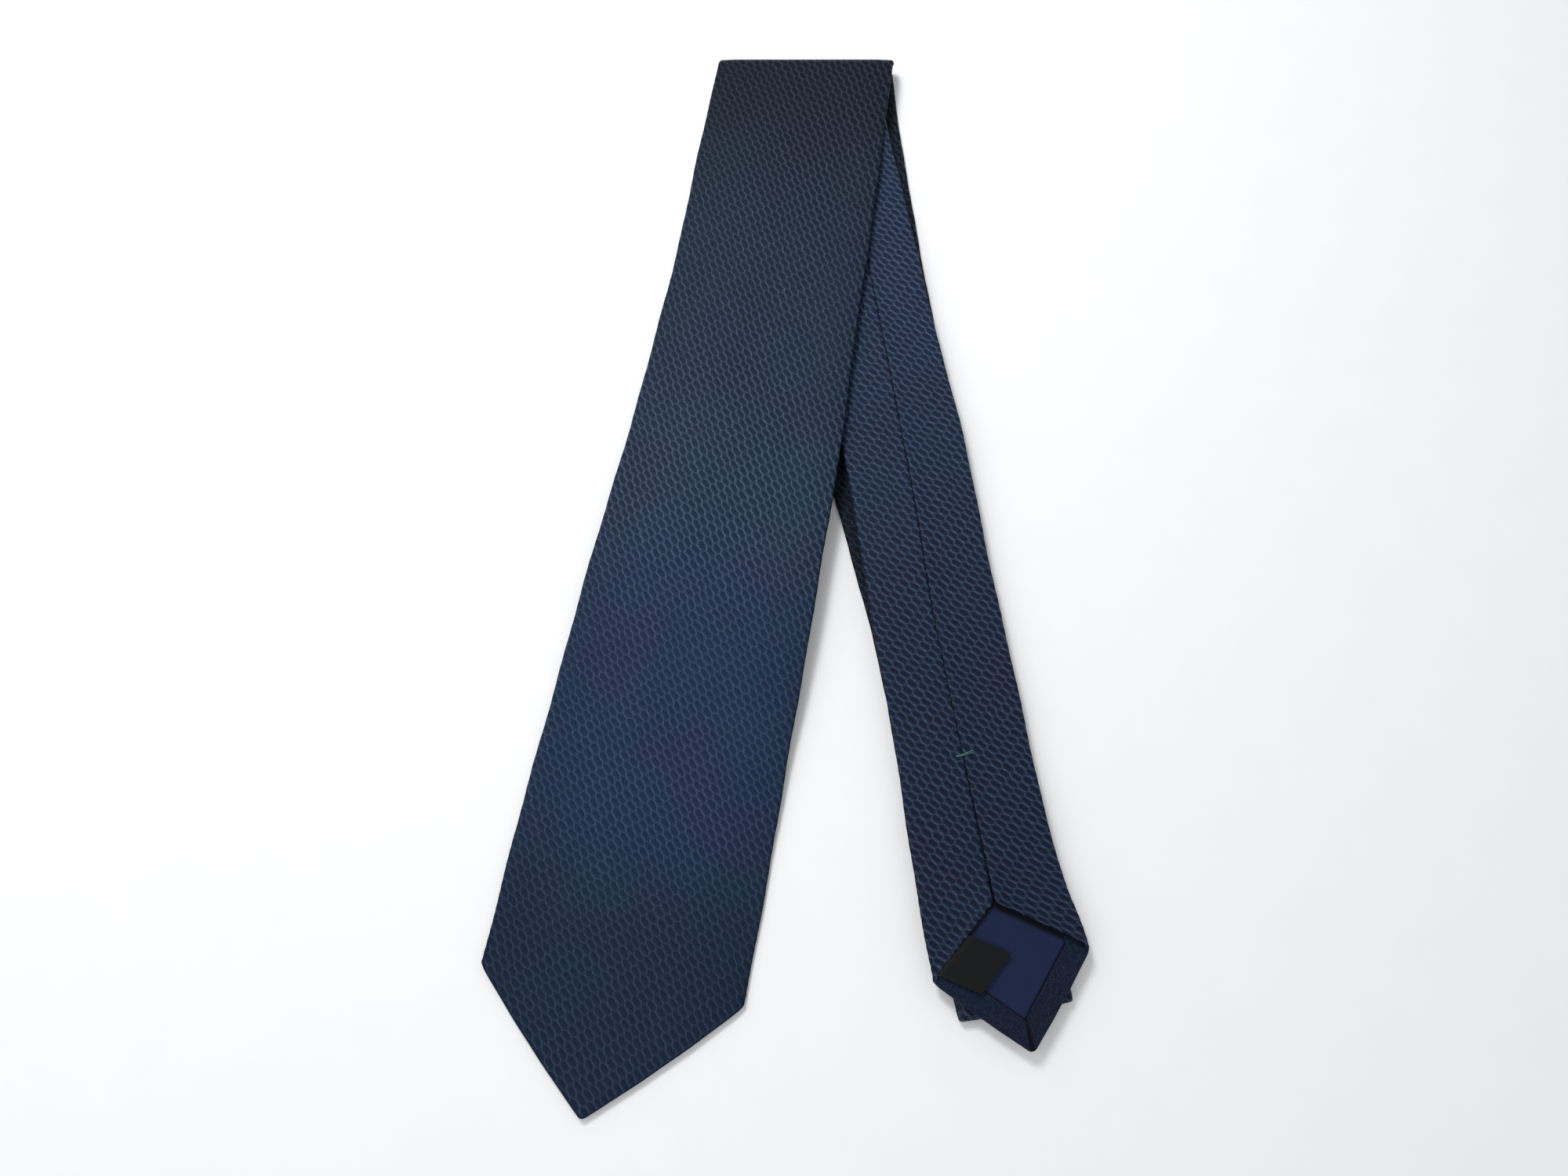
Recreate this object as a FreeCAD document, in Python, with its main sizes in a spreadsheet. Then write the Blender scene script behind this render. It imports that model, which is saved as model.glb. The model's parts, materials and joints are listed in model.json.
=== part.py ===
import FreeCAD, Part
import math
import os
import Sketcher

# A necktie folded in four and lying flat: fold it at the neck, then fold the pair over at mid length.
# From the table up there are four layers: the upper half of the wide side (back up), the upper half of
# the narrow side (face up), the tail (back up) and the blade (face up).
# Millimetres, +Z up. The origin is the middle of the top fold, on the table. The tie hangs down -Y.
# Each layer has a frame of its own: it starts at its fold and runs down its local -Y.

FACE_UP = "face up"
FACE_DOWN = "face down"
IN_FRONT = 1
BEHIND = -1

SIZES = (
    ("silk_thickness", 0.45, "one thickness of the jacquard silk"),
    ("layer_thickness", 2.0, "the flattened tie: silk, interlining, tipping, silk"),
    ("layer_gap", 0.3, "air between two layers of the folded tie"),
    ("fit_gap", 0.05, "air between two pieces that lie against each other"),
    ("interlining_thickness", 0.8, "brushed wool interlining"),
    ("tipping_thickness", 0.17, "satin lining of the tips"),
    ("thread_width", 0.16, "sewing thread"),
    ("seam_gap", 0.3, "gap between the two back panels, and across a joining seam"),
    ("edge_roll", 1.0, "solid rolled edge at each side of the silk envelope"),
    ("fold_width", 67.4, "width across the wide side at the top fold"),
    ("blade_turn", -10.5, "turn of the blade about +Z, degrees"),
    ("blade_width", 85.2, "widest place of the blade"),
    ("blade_shoulder", 347.8, "top fold to the blade's corners"),
    ("blade_length", 388.3, "top fold to the blade's tip"),
    ("drape_start", 215.0, "where the blade leaves the stack"),
    ("drape_end", 300.0, "where the blade comes down to the table"),
    ("tip_height", 0.3, "air under the blade's tip"),
    ("blade_vent_apex", 317.0, "top fold to the top of the blade's back opening"),
    ("blade_vent_side", 343.0, "top fold to the side corners of that opening"),
    ("blade_vent_half", 36.0, "half the width of that opening"),
    ("blade_vent_foot", 377.3, "top fold to the foot of that opening"),
    ("blade_tack", 265.0, "top fold to the blade's bar tack"),
    ("upper_turn", 10.3, "turn of the wide side's upper half"),
    ("upper_length", 357.0, "top fold to the neck fold"),
    ("upper_waist", 110.0, "top fold to where the wide side has narrowed"),
    ("upper_waist_width", 52.4, "width there"),
    ("blade_seam", 285.0, "top fold to the seam between blade silk and neck silk"),
    ("blade_seam_width", 38.8, "width there"),
    ("neck_turn", 9.6, "turn of the neck fold"),
    ("neck_width", 36.4, "width round the collar"),
    ("under_turn", 9.16, "turn of the narrow side's upper half"),
    ("under_length", 346.6, "tail fold to neck fold"),
    ("tail_seam", 100.0, "tail fold to the seam between neck silk and tail silk"),
    ("tail_fold_x", 8.6, "middle of the tail fold"),
    ("tail_fold_y", -9.0, "middle of the tail fold"),
    ("tail_fold_width", 37.0, "width at the tail fold"),
    ("tail_turn", 9.5, "turn of the tail"),
    ("tail_mid", 170.0, "tail fold to the middle of the tail"),
    ("tail_mid_width", 43.2, "width there"),
    ("tail_low", 290.0, "tail fold to where the tail starts to flare"),
    ("tail_low_width", 45.8, "width there"),
    ("tail_width", 51.8, "widest place of the tail"),
    ("tail_shoulder", 331.8, "tail fold to the tail's corners"),
    ("tail_length", 358.2, "tail fold to the tail's tip"),
    ("tail_vent_apex", 312.9, "tail fold to the top of the tail's back opening"),
    ("tail_vent_side", 327.9, "tail fold to the side corners of that opening"),
    ("tail_vent_half", 20.6, "half the width of that opening"),
    ("tail_vent_foot", 348.9, "tail fold to the foot of that opening"),
    ("tail_tack", 265.3, "tail fold to the tail's bar tack"),
    ("seam_drift", 2.6, "how far the tail's back seam has wandered to the left at the opening"),
    ("tack_length", 6.5, "length of a bar tack"),
    ("loop_distance", 153.0, "top fold to the keeper loop"),
    ("loop_width", 9.0, "width of the keeper loop's strap"),
    ("loop_span", 41.0, "free span of the keeper loop"),
    ("loop_end", 5.0, "sewn end of the keeper loop"),
    ("loop_thickness", 0.8, "folded strap"),
    ("loop_drop", 1.0, "room between loop and blade for the tail"),
    ("maker_distance", 188.0, "top fold to the blank maker's label"),
    ("maker_length", 42.0, "blank label, across the blade"),
    ("maker_width", 14.0, "blank label, along the blade"),
    ("label_thickness", 0.3, "woven satin label"),
    ("label_hinge_x", -18.4, "middle of the care label's sewn edge, in the tail's frame"),
    ("label_hinge_y", -326.4, "middle of the care label's sewn edge, in the tail's frame"),
    ("label_edge_turn", 41.1, "slope of the care label's sewn edge"),
    ("label_lean", 73.0, "angle between the care label's sewn edge and its length"),
    ("label_length", 15.0, "care label, from its sewn edge to its free end"),
    ("label_edge", 15.6, "care label, along its sewn edge"),
)

LAYER_PITCH = "(tie.layer_thickness + tie.layer_gap)"
UPPER_LEVEL = "0"
UNDER_LEVEL = LAYER_PITCH
TAIL_LEVEL = f"2 * {LAYER_PITCH}"
BLADE_LEVEL = f"3 * {LAYER_PITCH}"
STACK_HEIGHT = "(4 * tie.layer_thickness + 3 * tie.layer_gap)"
TOP_ROLL = f"({STACK_HEIGHT} / 2)"
SMALL_ROLL = "(tie.layer_thickness + tie.layer_gap / 2)"

# Depths through one layer, counted from its face side.
WHOLE = ("0", "tie.layer_thickness")
CAVITY = ("tie.silk_thickness", "tie.layer_thickness - tie.silk_thickness")
PADDING = (
    "tie.silk_thickness + tie.fit_gap",
    "tie.silk_thickness + tie.fit_gap + tie.interlining_thickness",
)
LINING = (
    "tie.layer_thickness - tie.silk_thickness - tie.fit_gap - tie.tipping_thickness",
    "tie.layer_thickness - tie.silk_thickness - tie.fit_gap",
)
BACK_CUT = ("tie.layer_thickness - tie.silk_thickness - 0.1", "tie.layer_thickness + 0.1")
PADDING_INSET = "(tie.edge_roll + 0.3)"
UNDER_START = "4 * tie.fit_gap"
ARM_OVERLAP = "0.2"

doc = FreeCAD.newDocument("necktie")
sheet = doc.addObject("Spreadsheet::Sheet", "tie")
NODES = []


def fill_sheet():
    """One row for each driving size: its meaning, its value and its alias."""
    for row, (alias, value, meaning) in enumerate(SIZES, start=1):
        sheet.set(f"A{row}", meaning)
        sheet.set(f"B{row}", str(value))
        sheet.setAlias(f"B{row}", alias)
    doc.recompute()


def node(piece, name):
    """Marks a finished sub-part: its label is the name of its file."""
    piece.Label = name
    NODES.append(piece)
    return piece


def place(piece, turn, x="0", y="0", z="0"):
    """Puts a piece at a point, turned about +Z."""
    for axis, formula in zip("xyz", (x, y, z)):
        piece.setExpression(f"Placement.Base.{axis}", formula)
    piece.setExpression("Placement.Rotation.Angle", turn)
    return piece


def sketch_on(body, role, name, offset="0"):
    """An empty sketch on one of the body's own origin planes, moved along its normal."""
    plane = next(o for o in body.Origin.OriginFeatures if o.Role == role)
    drawing = body.newObject("Sketcher::SketchObject", name)
    drawing.AttachmentSupport = [(plane, "")]
    drawing.MapMode = "FlatFace"
    drawing.setExpression("AttachmentOffset.Base.z", offset)
    return drawing


def draw_polygon(drawing, corners):
    """A closed outline through corners, each a pair of formulas measured from the sketch's origin."""
    count = len(corners)
    first = drawing.GeometryCount
    ring = [FreeCAD.Vector(10, 0, 0)]
    for step in range(1, count):
        angle = 2 * math.pi * step / count
        ring.append(FreeCAD.Vector(10 * math.cos(angle), 10 * math.sin(angle), 0))
    for i in range(count):
        drawing.addGeometry(Part.LineSegment(ring[i], ring[(i + 1) % count]), False)
    for i in range(count):
        after = first + (i + 1) % count
        drawing.addConstraint(Sketcher.Constraint("Coincident", first + i, 2, after, 1))
    for i, corner in enumerate(corners):
        for kind, formula in zip(("DistanceX", "DistanceY"), corner):
            index = drawing.addConstraint(Sketcher.Constraint(kind, -1, 1, first + i, 1, 1.0))
            drawing.setExpression(f"Constraints[{index}]", formula)


def prism(name, corners, low, high, role="XY_Plane"):
    """A body with one outline padded from low to high along the plane's normal."""
    body = doc.addObject("PartDesign::Body", name)
    drawing = sketch_on(body, role, f"{name}_outline", low)
    draw_polygon(drawing, corners)
    pad = body.newObject("PartDesign::Pad", f"{name}_pad")
    pad.Profile = drawing
    pad.setExpression("Length", f"({high}) - ({low})")
    return body


def cut(name, base, *tools):
    """Base less all of the tools."""
    piece = doc.addObject("Part::Cut", name)
    piece.Base = base
    piece.Tool = tools[0] if len(tools) == 1 else fuse(f"{name}_tools", *tools)
    return piece


def fuse(name, *pieces):
    """Several shapes as one."""
    joined = doc.addObject("Part::MultiFuse", name)
    joined.Shapes = list(pieces)
    return joined


def heights(level, way, depths):
    """Lowest and highest z of a slice of a layer, from its depths below the face."""
    shallow, deep = depths
    if way == FACE_DOWN:
        return f"{level} + {shallow}", f"{level} + {deep}"
    top = f"{level} + tie.layer_thickness"
    return f"{top} - ({deep})", f"{top} - ({shallow})"


def mirrored(right_side):
    """A closed outline from the formulas of its right side, top to bottom."""
    left_side = [(f"-({x})", y) for x, y in reversed(right_side)]
    return list(right_side) + left_side


# ---- the blade: it lies on the stack near the fold and comes down to the table below it ----


def drape_slice(name, depths):
    """A wide sheet that follows the blade's drape, between two depths below its face."""
    low, high = heights("0", FACE_UP, depths)
    stations = (
        ("10", BLADE_LEVEL),
        ("-tie.drape_start", BLADE_LEVEL),
        ("-tie.drape_end", "tie.tip_height"),
        ("-tie.blade_length - 10", "tie.tip_height"),
    )
    lower = [(y, f"{level} + {low}") for y, level in stations]
    upper = [(y, f"{level} + {high}") for y, level in reversed(stations)]
    body = doc.addObject("PartDesign::Body", name)
    drawing = sketch_on(body, "YZ_Plane", f"{name}_profile")
    draw_polygon(drawing, lower + upper)
    pad = body.newObject("PartDesign::Pad", f"{name}_pad")
    pad.Profile = drawing
    pad.SideType = "Symmetric"
    pad.setExpression("Length", "2 * tie.blade_width")
    return body


def draped(name, corners, depths):
    """A piece of the blade: a plan outline cut out of the draped sheet."""
    plan = prism(f"{name}_plan", corners, "-5", f"{STACK_HEIGHT} + 5")
    piece = doc.addObject("Part::Common", name)
    piece.Base = plan
    piece.Tool = drape_slice(f"{name}_sheet", depths)
    return piece


def top_edge(half, turn, gap):
    """The two corners along the top fold, which is parallel to X whatever the layer's turn."""
    start = f"({TOP_ROLL} + {gap}) / cos({turn})"
    return (half, f"-{start} - ({half}) * tan({turn})"), (f"-({half})", f"-{start} + ({half}) * tan({turn})")


def blade_outline(inset, gap="tie.fit_gap"):
    """The blade in plan, pulled in by inset all round its free edges."""
    right_top, left_top = top_edge(f"(tie.fold_width / 2 - {inset})", "tie.blade_turn", gap)
    shoulder = (f"tie.blade_width / 2 - {inset}", "-tie.blade_shoulder")
    tip = ("0", f"-tie.blade_length + 1.3 * {inset}")
    return [right_top, shoulder, tip, (f"-({shoulder[0]})", shoulder[1]), left_top]


def vent(side, drift="0"):
    """The opening at the back of a tip, below the V where the two panels part."""
    return [
        (f"tie.{side}_vent_half", f"-tie.{side}_vent_side"),
        ("0", f"-tie.{side}_vent_foot"),
        (f"-tie.{side}_vent_half", f"-tie.{side}_vent_side"),
        (f"-{drift}", f"-tie.{side}_vent_apex"),
    ]


def strip(half_width, top, bottom, drift="0"):
    """A narrow strip down the middle of a layer, whose lower end has wandered to the left."""
    return [
        (half_width, f"-({top})"),
        (f"{half_width} - {drift}", f"-({bottom})"),
        (f"-({half_width}) - {drift}", f"-({bottom})"),
        (f"-({half_width})", f"-({top})"),
    ]


def build_blade():
    """Silk envelope, interlining, tipping and thread of the blade."""
    whole = draped("blade_whole", blade_outline("0"), WHOLE)
    hollow = draped("blade_hollow", blade_outline("tie.edge_roll", "-1"), CAVITY)
    slit = draped("blade_slit", strip("tie.seam_gap / 2", "0", "tie.blade_vent_apex + 1"), BACK_CUT)
    opening = draped("blade_opening", vent("blade"), BACK_CUT)
    shell = cut("blade_shell", whole, hollow, slit, opening)
    padding = draped("blade_interlining", blade_outline(PADDING_INSET), PADDING)
    lining_top = ("tie.blade_width / 2 - 3", "-tie.blade_vent_apex + 42")
    lining_side = ("tie.blade_width / 2 - 2.2", "-tie.blade_shoulder")
    lining_foot = ("0", "-tie.blade_length + 3.2")
    left = [(f"-({x})", y) for x, y in (lining_side, lining_top)]
    tipping = draped("blade_tipping", [lining_top, lining_side, lining_foot] + left, LINING)
    thread_path = strip("tie.thread_width / 2", f"{TOP_ROLL} + 2", "tie.blade_tack - 3")
    thread = draped("blade_slip_stitch", thread_path, LINING)
    for piece, name in ((shell, "blade_shell"), (padding, "blade_interlining"),
                        (tipping, "blade_tipping"), (thread, "blade_slip_stitch")):
        node(place(piece, "tie.blade_turn"), name)


def bar_group(name, centres, length, radius, along_x=True):
    """Short round threads lying level, as one group."""
    bars = []
    for number, (x, y, z) in enumerate(centres):
        bar = doc.addObject("Part::Cylinder", f"{name}_{number}")
        bar.setExpression("Height", length)
        bar.setExpression("Radius", radius)
        turn_axis = FreeCAD.Vector(0, 1, 0) if along_x else FreeCAD.Vector(1, 0, 0)
        bar.Placement.Rotation = FreeCAD.Rotation(turn_axis, 90)
        x_start = f"{x} - {length} / 2" if along_x else x
        y_start = y if along_x else f"{y} + {length} / 2"
        for axis, formula in zip("xyz", (x_start, y_start, z)):
            bar.setExpression(f"Placement.Base.{axis}", formula)
        bars.append(bar)
    return fuse(name, *bars)


def tack_centres(side, surface, up, drift="0"):
    """Two passes of thread across the back seam, one thread's width apart."""
    z = f"{surface} + {up} * (tie.thread_width / 2 + tie.fit_gap)"
    y = f"-tie.{side}_tack"
    x = f"tie.tack_length / 4 - {drift}"
    return [(x, y, z), (x, f"{y} - 1.5 * tie.thread_width", z)]


def build_blade_tack():
    """The bar tack that locks the blade's slip stitch above its opening."""
    fall = "(tie.blade_tack - tie.drape_start) / (tie.drape_end - tie.drape_start)"
    surface = f"{BLADE_LEVEL} - ({BLADE_LEVEL} - tie.tip_height) * {fall}"
    centres = tack_centres("blade", f"{surface} - 0.1", BEHIND)
    tack = bar_group("blade_bar_tack", centres, "tie.tack_length", "tie.thread_width / 2")
    node(place(tack, "tie.blade_turn"), "blade_bar_tack")


def build_keeper_loop():
    """The strap across the blade's back that holds the tail, and the tacks at its ends."""
    top = f"{BLADE_LEVEL} - tie.fit_gap"
    half = "tie.loop_span / 2"
    right_side = [
        (half, top),
        (f"{half} + tie.loop_end", top),
        (f"{half} + tie.loop_end", f"{top} - tie.loop_thickness"),
        (f"{half} + 1", f"{top} - tie.loop_thickness"),
        (f"{half} - 1", f"{top} - tie.loop_thickness - tie.loop_drop"),
    ]
    left_side = [(f"-({x})", y) for x, y in reversed(right_side)]
    inner = [(f"-({half}) + 1.5", f"{top} - tie.loop_drop"), (f"{half} - 1.5", f"{top} - tie.loop_drop")]
    low = "tie.loop_distance - tie.loop_width / 2"
    loop = prism("keeper_loop", right_side + left_side + inner, low, f"{low} + tie.loop_width", "XZ_Plane")
    node(place(loop, "tie.blade_turn"), "keeper_loop")
    tack_z = f"{top} - tie.loop_thickness - tie.thread_width / 2 - 0.02"
    ends = [f"{sign} * ({half} + {share} * tie.loop_end)" for sign in (-1, 1) for share in (0.45, 0.8)]
    centres = [(x, "-tie.loop_distance", tack_z) for x in ends]
    tacks = bar_group("keeper_loop_tacks", centres, "tie.loop_width * 0.7", "tie.thread_width / 2", False)
    node(place(tacks, "tie.blade_turn"), "keeper_loop_tacks")


def build_maker_label():
    """A blank woven label below the keeper loop, and the four stitches at its corners."""
    top = f"{BLADE_LEVEL} - tie.fit_gap"
    half = "tie.maker_length / 2"
    corners = mirrored([
        (half, "-tie.maker_distance + tie.maker_width / 2"),
        (half, "-tie.maker_distance - tie.maker_width / 2"),
    ])
    label = prism("maker_label", corners, f"{top} - tie.label_thickness", top)
    node(place(label, "tie.blade_turn"), "maker_label")
    z = f"{top} - tie.label_thickness - tie.thread_width / 2 - 0.02"
    across = [f"{sign} * ({half} - 2)" for sign in (-1, 1)]
    along = [f"-tie.maker_distance + {sign} * (tie.maker_width / 2 - 1)" for sign in (-1, 1)]
    centres = [(x, y, z) for x in across for y in along]
    stitches = bar_group("maker_label_stitches", centres, "2", "tie.thread_width / 2")
    node(place(stitches, "tie.blade_turn"), "maker_label_stitches")


# ---- the tail: the third layer, back up ----


def tail_outline(inset, start="tie.fit_gap"):
    """The tail in plan, pulled in by inset all round its free edges."""
    right_side = [
        (f"tie.tail_fold_width / 2 - {inset}", f"-{SMALL_ROLL} - ({start})"),
        (f"tie.tail_mid_width / 2 - {inset}", "-tie.tail_mid"),
        (f"tie.tail_low_width / 2 - {inset}", "-tie.tail_low"),
        (f"tie.tail_width / 2 - {inset}", "-tie.tail_shoulder"),
    ]
    left_side = [(f"-({x})", y) for x, y in reversed(right_side)]
    return right_side + [("0", f"-tie.tail_length + 1.3 * {inset}")] + left_side


def tail_place(piece):
    """Puts a piece of the tail in the tail's frame."""
    return place(piece, "tie.tail_turn", "tie.tail_fold_x", "tie.tail_fold_y")


def build_tail():
    """Silk envelope, interlining, tipping and thread of the tail."""
    level = (TAIL_LEVEL, FACE_DOWN)
    drift = "tie.seam_drift"
    whole = prism("tail_whole", tail_outline("0"), *heights(*level, WHOLE))
    hollow = prism("tail_hollow", tail_outline("tie.edge_roll", "-3"), *heights(*level, CAVITY))
    slit_path = strip("tie.seam_gap / 2", "0", "tie.tail_vent_apex + 1", drift)
    slit = prism("tail_slit", slit_path, *heights(*level, BACK_CUT))
    opening = prism("tail_opening", vent("tail", drift), *heights(*level, BACK_CUT))
    shell = cut("tail_shell", whole, hollow, slit, opening)
    padding = prism("tail_interlining", tail_outline(PADDING_INSET), *heights(*level, PADDING))
    right_side = [
        ("tie.tail_low_width / 2 - 2", "-tie.tail_vent_apex + 25"),
        ("tie.tail_width / 2 - 2", "-tie.tail_shoulder"),
    ]
    left_side = [(f"-({x})", y) for x, y in reversed(right_side)]
    corners = right_side + [("0", "-tie.tail_length + 3")] + left_side
    tipping = prism("tail_tipping", corners, *heights(*level, LINING))
    half = "tie.thread_width / 2"
    thread_path = strip(half, f"{SMALL_ROLL} + 1", "tie.tail_tack - 3", f"0.8 * {drift}")
    thread = prism("tail_slip_stitch", thread_path, *heights(*level, LINING))
    for piece, name in ((shell, "tail_shell"), (padding, "tail_interlining"),
                        (tipping, "tail_tipping"), (thread, "tail_slip_stitch")):
        node(tail_place(piece), name)
    surface = f"{TAIL_LEVEL} + tie.layer_thickness"
    centres = tack_centres("tail", surface, IN_FRONT, drift)
    tack = bar_group("tail_bar_tack", centres, "tie.tack_length", "tie.thread_width / 2")
    node(tail_place(tack), "tail_bar_tack")


def build_care_label():
    """The blank care label that stands out from under the left panel, free to lift on its sewn edge."""
    along = ("cos(tie.label_edge_turn)", "sin(tie.label_edge_turn)")
    out = ("cos(tie.label_edge_turn - tie.label_lean)", "sin(tie.label_edge_turn - tie.label_lean)")

    def corner(edge, reach):
        """A corner of the label, from its share of the sewn edge and its reach from that edge."""
        x = f"tie.label_hinge_x + {edge} * tie.label_edge * {along[0]} + ({reach}) * {out[0]}"
        y = f"tie.label_hinge_y + {edge} * tie.label_edge * {along[1]} + ({reach}) * {out[1]}"
        return x, y

    near, far = "tie.seam_gap", "tie.label_length"
    corners = [corner(-0.5, near), corner(0.5, near), corner(0.5, far), corner(-0.5, far)]
    low = f"{TAIL_LEVEL} + tie.layer_thickness + tie.fit_gap"
    label = prism("care_label", corners, low, f"{low} + tie.label_thickness")
    node(tail_place(label), "care_label")


# ---- the two lower layers and the neck fold ----


def upper_outline(inset, bottom):
    """The wide side's upper half in plan, from the top fold down to the given end corners."""
    right_top, left_top = top_edge(f"(tie.fold_width / 2 - {inset})", "tie.upper_turn", "tie.fit_gap")
    waist = (f"tie.upper_waist_width / 2 - {inset}", "-tie.upper_waist")
    return [right_top, waist] + bottom + [(f"-({waist[0]})", waist[1]), left_top]


def slant(half, distance, way=1):
    """The two corners of an end cut on the bias, right one first."""
    run = f"{way} * ({half})"
    return [(half, f"-({distance}) + {run}"), (f"-({half})", f"-({distance}) - {run}")]


def under_place(piece):
    """Puts a piece of the narrow side's upper half in its frame."""
    return place(piece, "tie.under_turn", "tie.tail_fold_x", "tie.tail_fold_y")


def half_turn(name, corners):
    """A cross section swept half round its own X axis, bulging towards +Y."""
    body = doc.addObject("PartDesign::Body", name)
    drawing = sketch_on(body, "XY_Plane", f"{name}_section")
    draw_polygon(drawing, corners)
    roll = body.newObject("PartDesign::Revolution", f"{name}_roll")
    roll.Profile = drawing
    roll.ReferenceAxis = (drawing, ["H_Axis"])
    roll.Angle = 180
    roll.Midplane = True
    return body


def rectangle(half, inner, outer):
    """A rectangle about the Y axis."""
    return [(half, inner), (half, outer), (f"-({half})", outer), (f"-({half})", inner)]


def neck_roll(name, half, depths):
    """One depth range of the neck fold: its face is outside and it bulges down the tie."""
    shallow, deep = depths
    corners = rectangle(half, f"{SMALL_ROLL} - ({deep})", f"{SMALL_ROLL} - ({shallow})")
    x = f"tie.upper_length * sin(tie.upper_turn) - {SMALL_ROLL} * sin(tie.neck_turn)"
    y = f"-tie.upper_length * cos(tie.upper_turn) + {SMALL_ROLL} * cos(tie.neck_turn)"
    return place(half_turn(name, corners), "tie.neck_turn + 180", x, y, SMALL_ROLL)


def neck_path(name, upper, under, fold_half, depths):
    """One depth range on both flat arms and round the fold between them."""
    arm_upper = prism(f"{name}_upper", upper, *heights(UPPER_LEVEL, FACE_DOWN, depths))
    arm_under = prism(f"{name}_under", under, *heights(UNDER_LEVEL, FACE_UP, depths))
    fold = neck_roll(f"{name}_fold", fold_half, depths)
    return fuse(name, place(arm_upper, "tie.upper_turn"), fold, under_place(arm_under))


def neck_arms(name, inset, depths, upper_end, under_end):
    """The neck silk between its two bias ends, at one depth range."""
    half = f"tie.neck_width / 2 - {inset}"
    wide = f"tie.blade_seam_width / 2 - {inset}"
    foot_upper = f"-tie.upper_length + {SMALL_ROLL} - {ARM_OVERLAP}"
    foot_under = f"-tie.under_length + {SMALL_ROLL} - {ARM_OVERLAP}"
    upper = [(half, foot_upper), (f"-({half})", foot_upper)] + list(reversed(slant(wide, upper_end)))
    under = [(half, foot_under), (f"-({half})", foot_under)] + list(reversed(slant(half, under_end, -1)))
    return neck_path(name, upper, under, half, depths)


def build_neck():
    """The neck silk: below the blade seam, round the neck fold and back to the tail seam."""
    gap = "tie.seam_gap / 2"
    whole = neck_arms("neck_whole", "0", WHOLE, f"tie.blade_seam + {gap}", f"tie.tail_seam + {gap}")
    hollow = neck_arms("neck_hollow", "tie.edge_roll", CAVITY, "tie.blade_seam - 5", "tie.tail_seam - 5")
    slit_upper = strip(gap, "tie.blade_seam - 30", f"tie.upper_length - {SMALL_ROLL}")
    slit_under = strip(gap, "tie.tail_seam - 30", f"tie.under_length - {SMALL_ROLL}")
    slit = neck_path("neck_slit", slit_upper, slit_under, gap, BACK_CUT)
    node(cut("neck_shell", whole, hollow, slit), "neck_shell")


def build_upper_silk():
    """The blade silk's upper half, from the top fold down to its joining seam."""
    distance = "tie.blade_seam - tie.seam_gap / 2"
    end = slant("tie.blade_seam_width / 2", distance)
    hollow_end = slant("tie.blade_seam_width / 2 - tie.edge_roll", "tie.blade_seam + 5")
    level = (UPPER_LEVEL, FACE_DOWN)
    whole = prism("upper_whole", upper_outline("0", end), *heights(*level, WHOLE))
    right_top, left_top = top_edge("(tie.fold_width / 2 - tie.edge_roll)", "tie.upper_turn", "-1")
    waist = ("tie.upper_waist_width / 2 - tie.edge_roll", "-tie.upper_waist")
    corners = [right_top, waist] + hollow_end + [(f"-({waist[0]})", waist[1]), left_top]
    hollow = prism("upper_hollow", corners, *heights(*level, CAVITY))
    slit_path = strip("tie.seam_gap / 2", "0", "tie.blade_seam + 30")
    slit = prism("upper_slit", slit_path, *heights(*level, BACK_CUT))
    node(place(cut("blade_shell_upper", whole, hollow, slit), "tie.upper_turn"), "blade_shell_upper")


def build_under_silk():
    """The tail silk's upper end, from the tail fold down to its joining seam."""
    half = "tie.tail_fold_width / 2"
    top = f"-{SMALL_ROLL} - {UNDER_START}"
    end = slant(half, "tie.tail_seam - tie.seam_gap / 2", -1)
    level = (UNDER_LEVEL, FACE_UP)
    whole = prism("under_whole", [(half, top)] + end + [(f"-({half})", top)], *heights(*level, WHOLE))
    inner = f"{half} - tie.edge_roll"
    inner_end = slant(inner, "tie.tail_seam + 5", -1)
    hollow_corners = [(inner, "3")] + inner_end + [(f"-({inner})", "3")]
    hollow = prism("under_hollow", hollow_corners, *heights(*level, CAVITY))
    slit_path = strip("tie.seam_gap / 2", "-3", "tie.tail_seam + 30")
    slit = prism("under_slit", slit_path, *heights(*level, BACK_CUT))
    node(under_place(cut("tail_shell_upper", whole, hollow, slit)), "tail_shell_upper")


def build_middle_interlining():
    """The interlining between the two top folds: down the wide side, round the neck, up the narrow side."""
    neck_half = f"tie.neck_width / 2 - {PADDING_INSET}"
    foot = f"-tie.upper_length + {SMALL_ROLL} - {ARM_OVERLAP}"
    seam_half = f"tie.blade_seam_width / 2 - {PADDING_INSET}"
    seam_start = "-tie.blade_seam + tie.blade_seam_width / 2"
    right_side = [(seam_half, seam_start), (neck_half, foot)]
    left_side = [(f"-({x})", y) for x, y in reversed(right_side)]
    upper = upper_outline(PADDING_INSET, right_side + left_side)
    under_half = f"tie.tail_fold_width / 2 - {PADDING_INSET}"
    under_foot = f"-tie.under_length + {SMALL_ROLL} - {ARM_OVERLAP}"
    under = mirrored([(under_half, f"-{SMALL_ROLL} - {UNDER_START}"), (neck_half, under_foot)])
    node(neck_path("interlining_middle", upper, under, neck_half, PADDING), "interlining_middle")


def build_middle_thread():
    """The slip stitch between the two top folds, one thread round the neck fold."""
    half = "tie.thread_width / 2"
    upper = strip(half, f"{TOP_ROLL} + 2", f"tie.upper_length - {SMALL_ROLL} + 0.1")
    under = strip(half, f"{SMALL_ROLL} + 1", f"tie.under_length - {SMALL_ROLL} + 0.1")
    thread = neck_path("slip_stitch_middle", upper, under, "tie.thread_width", LINING)
    node(thread, "slip_stitch_middle")


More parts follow.
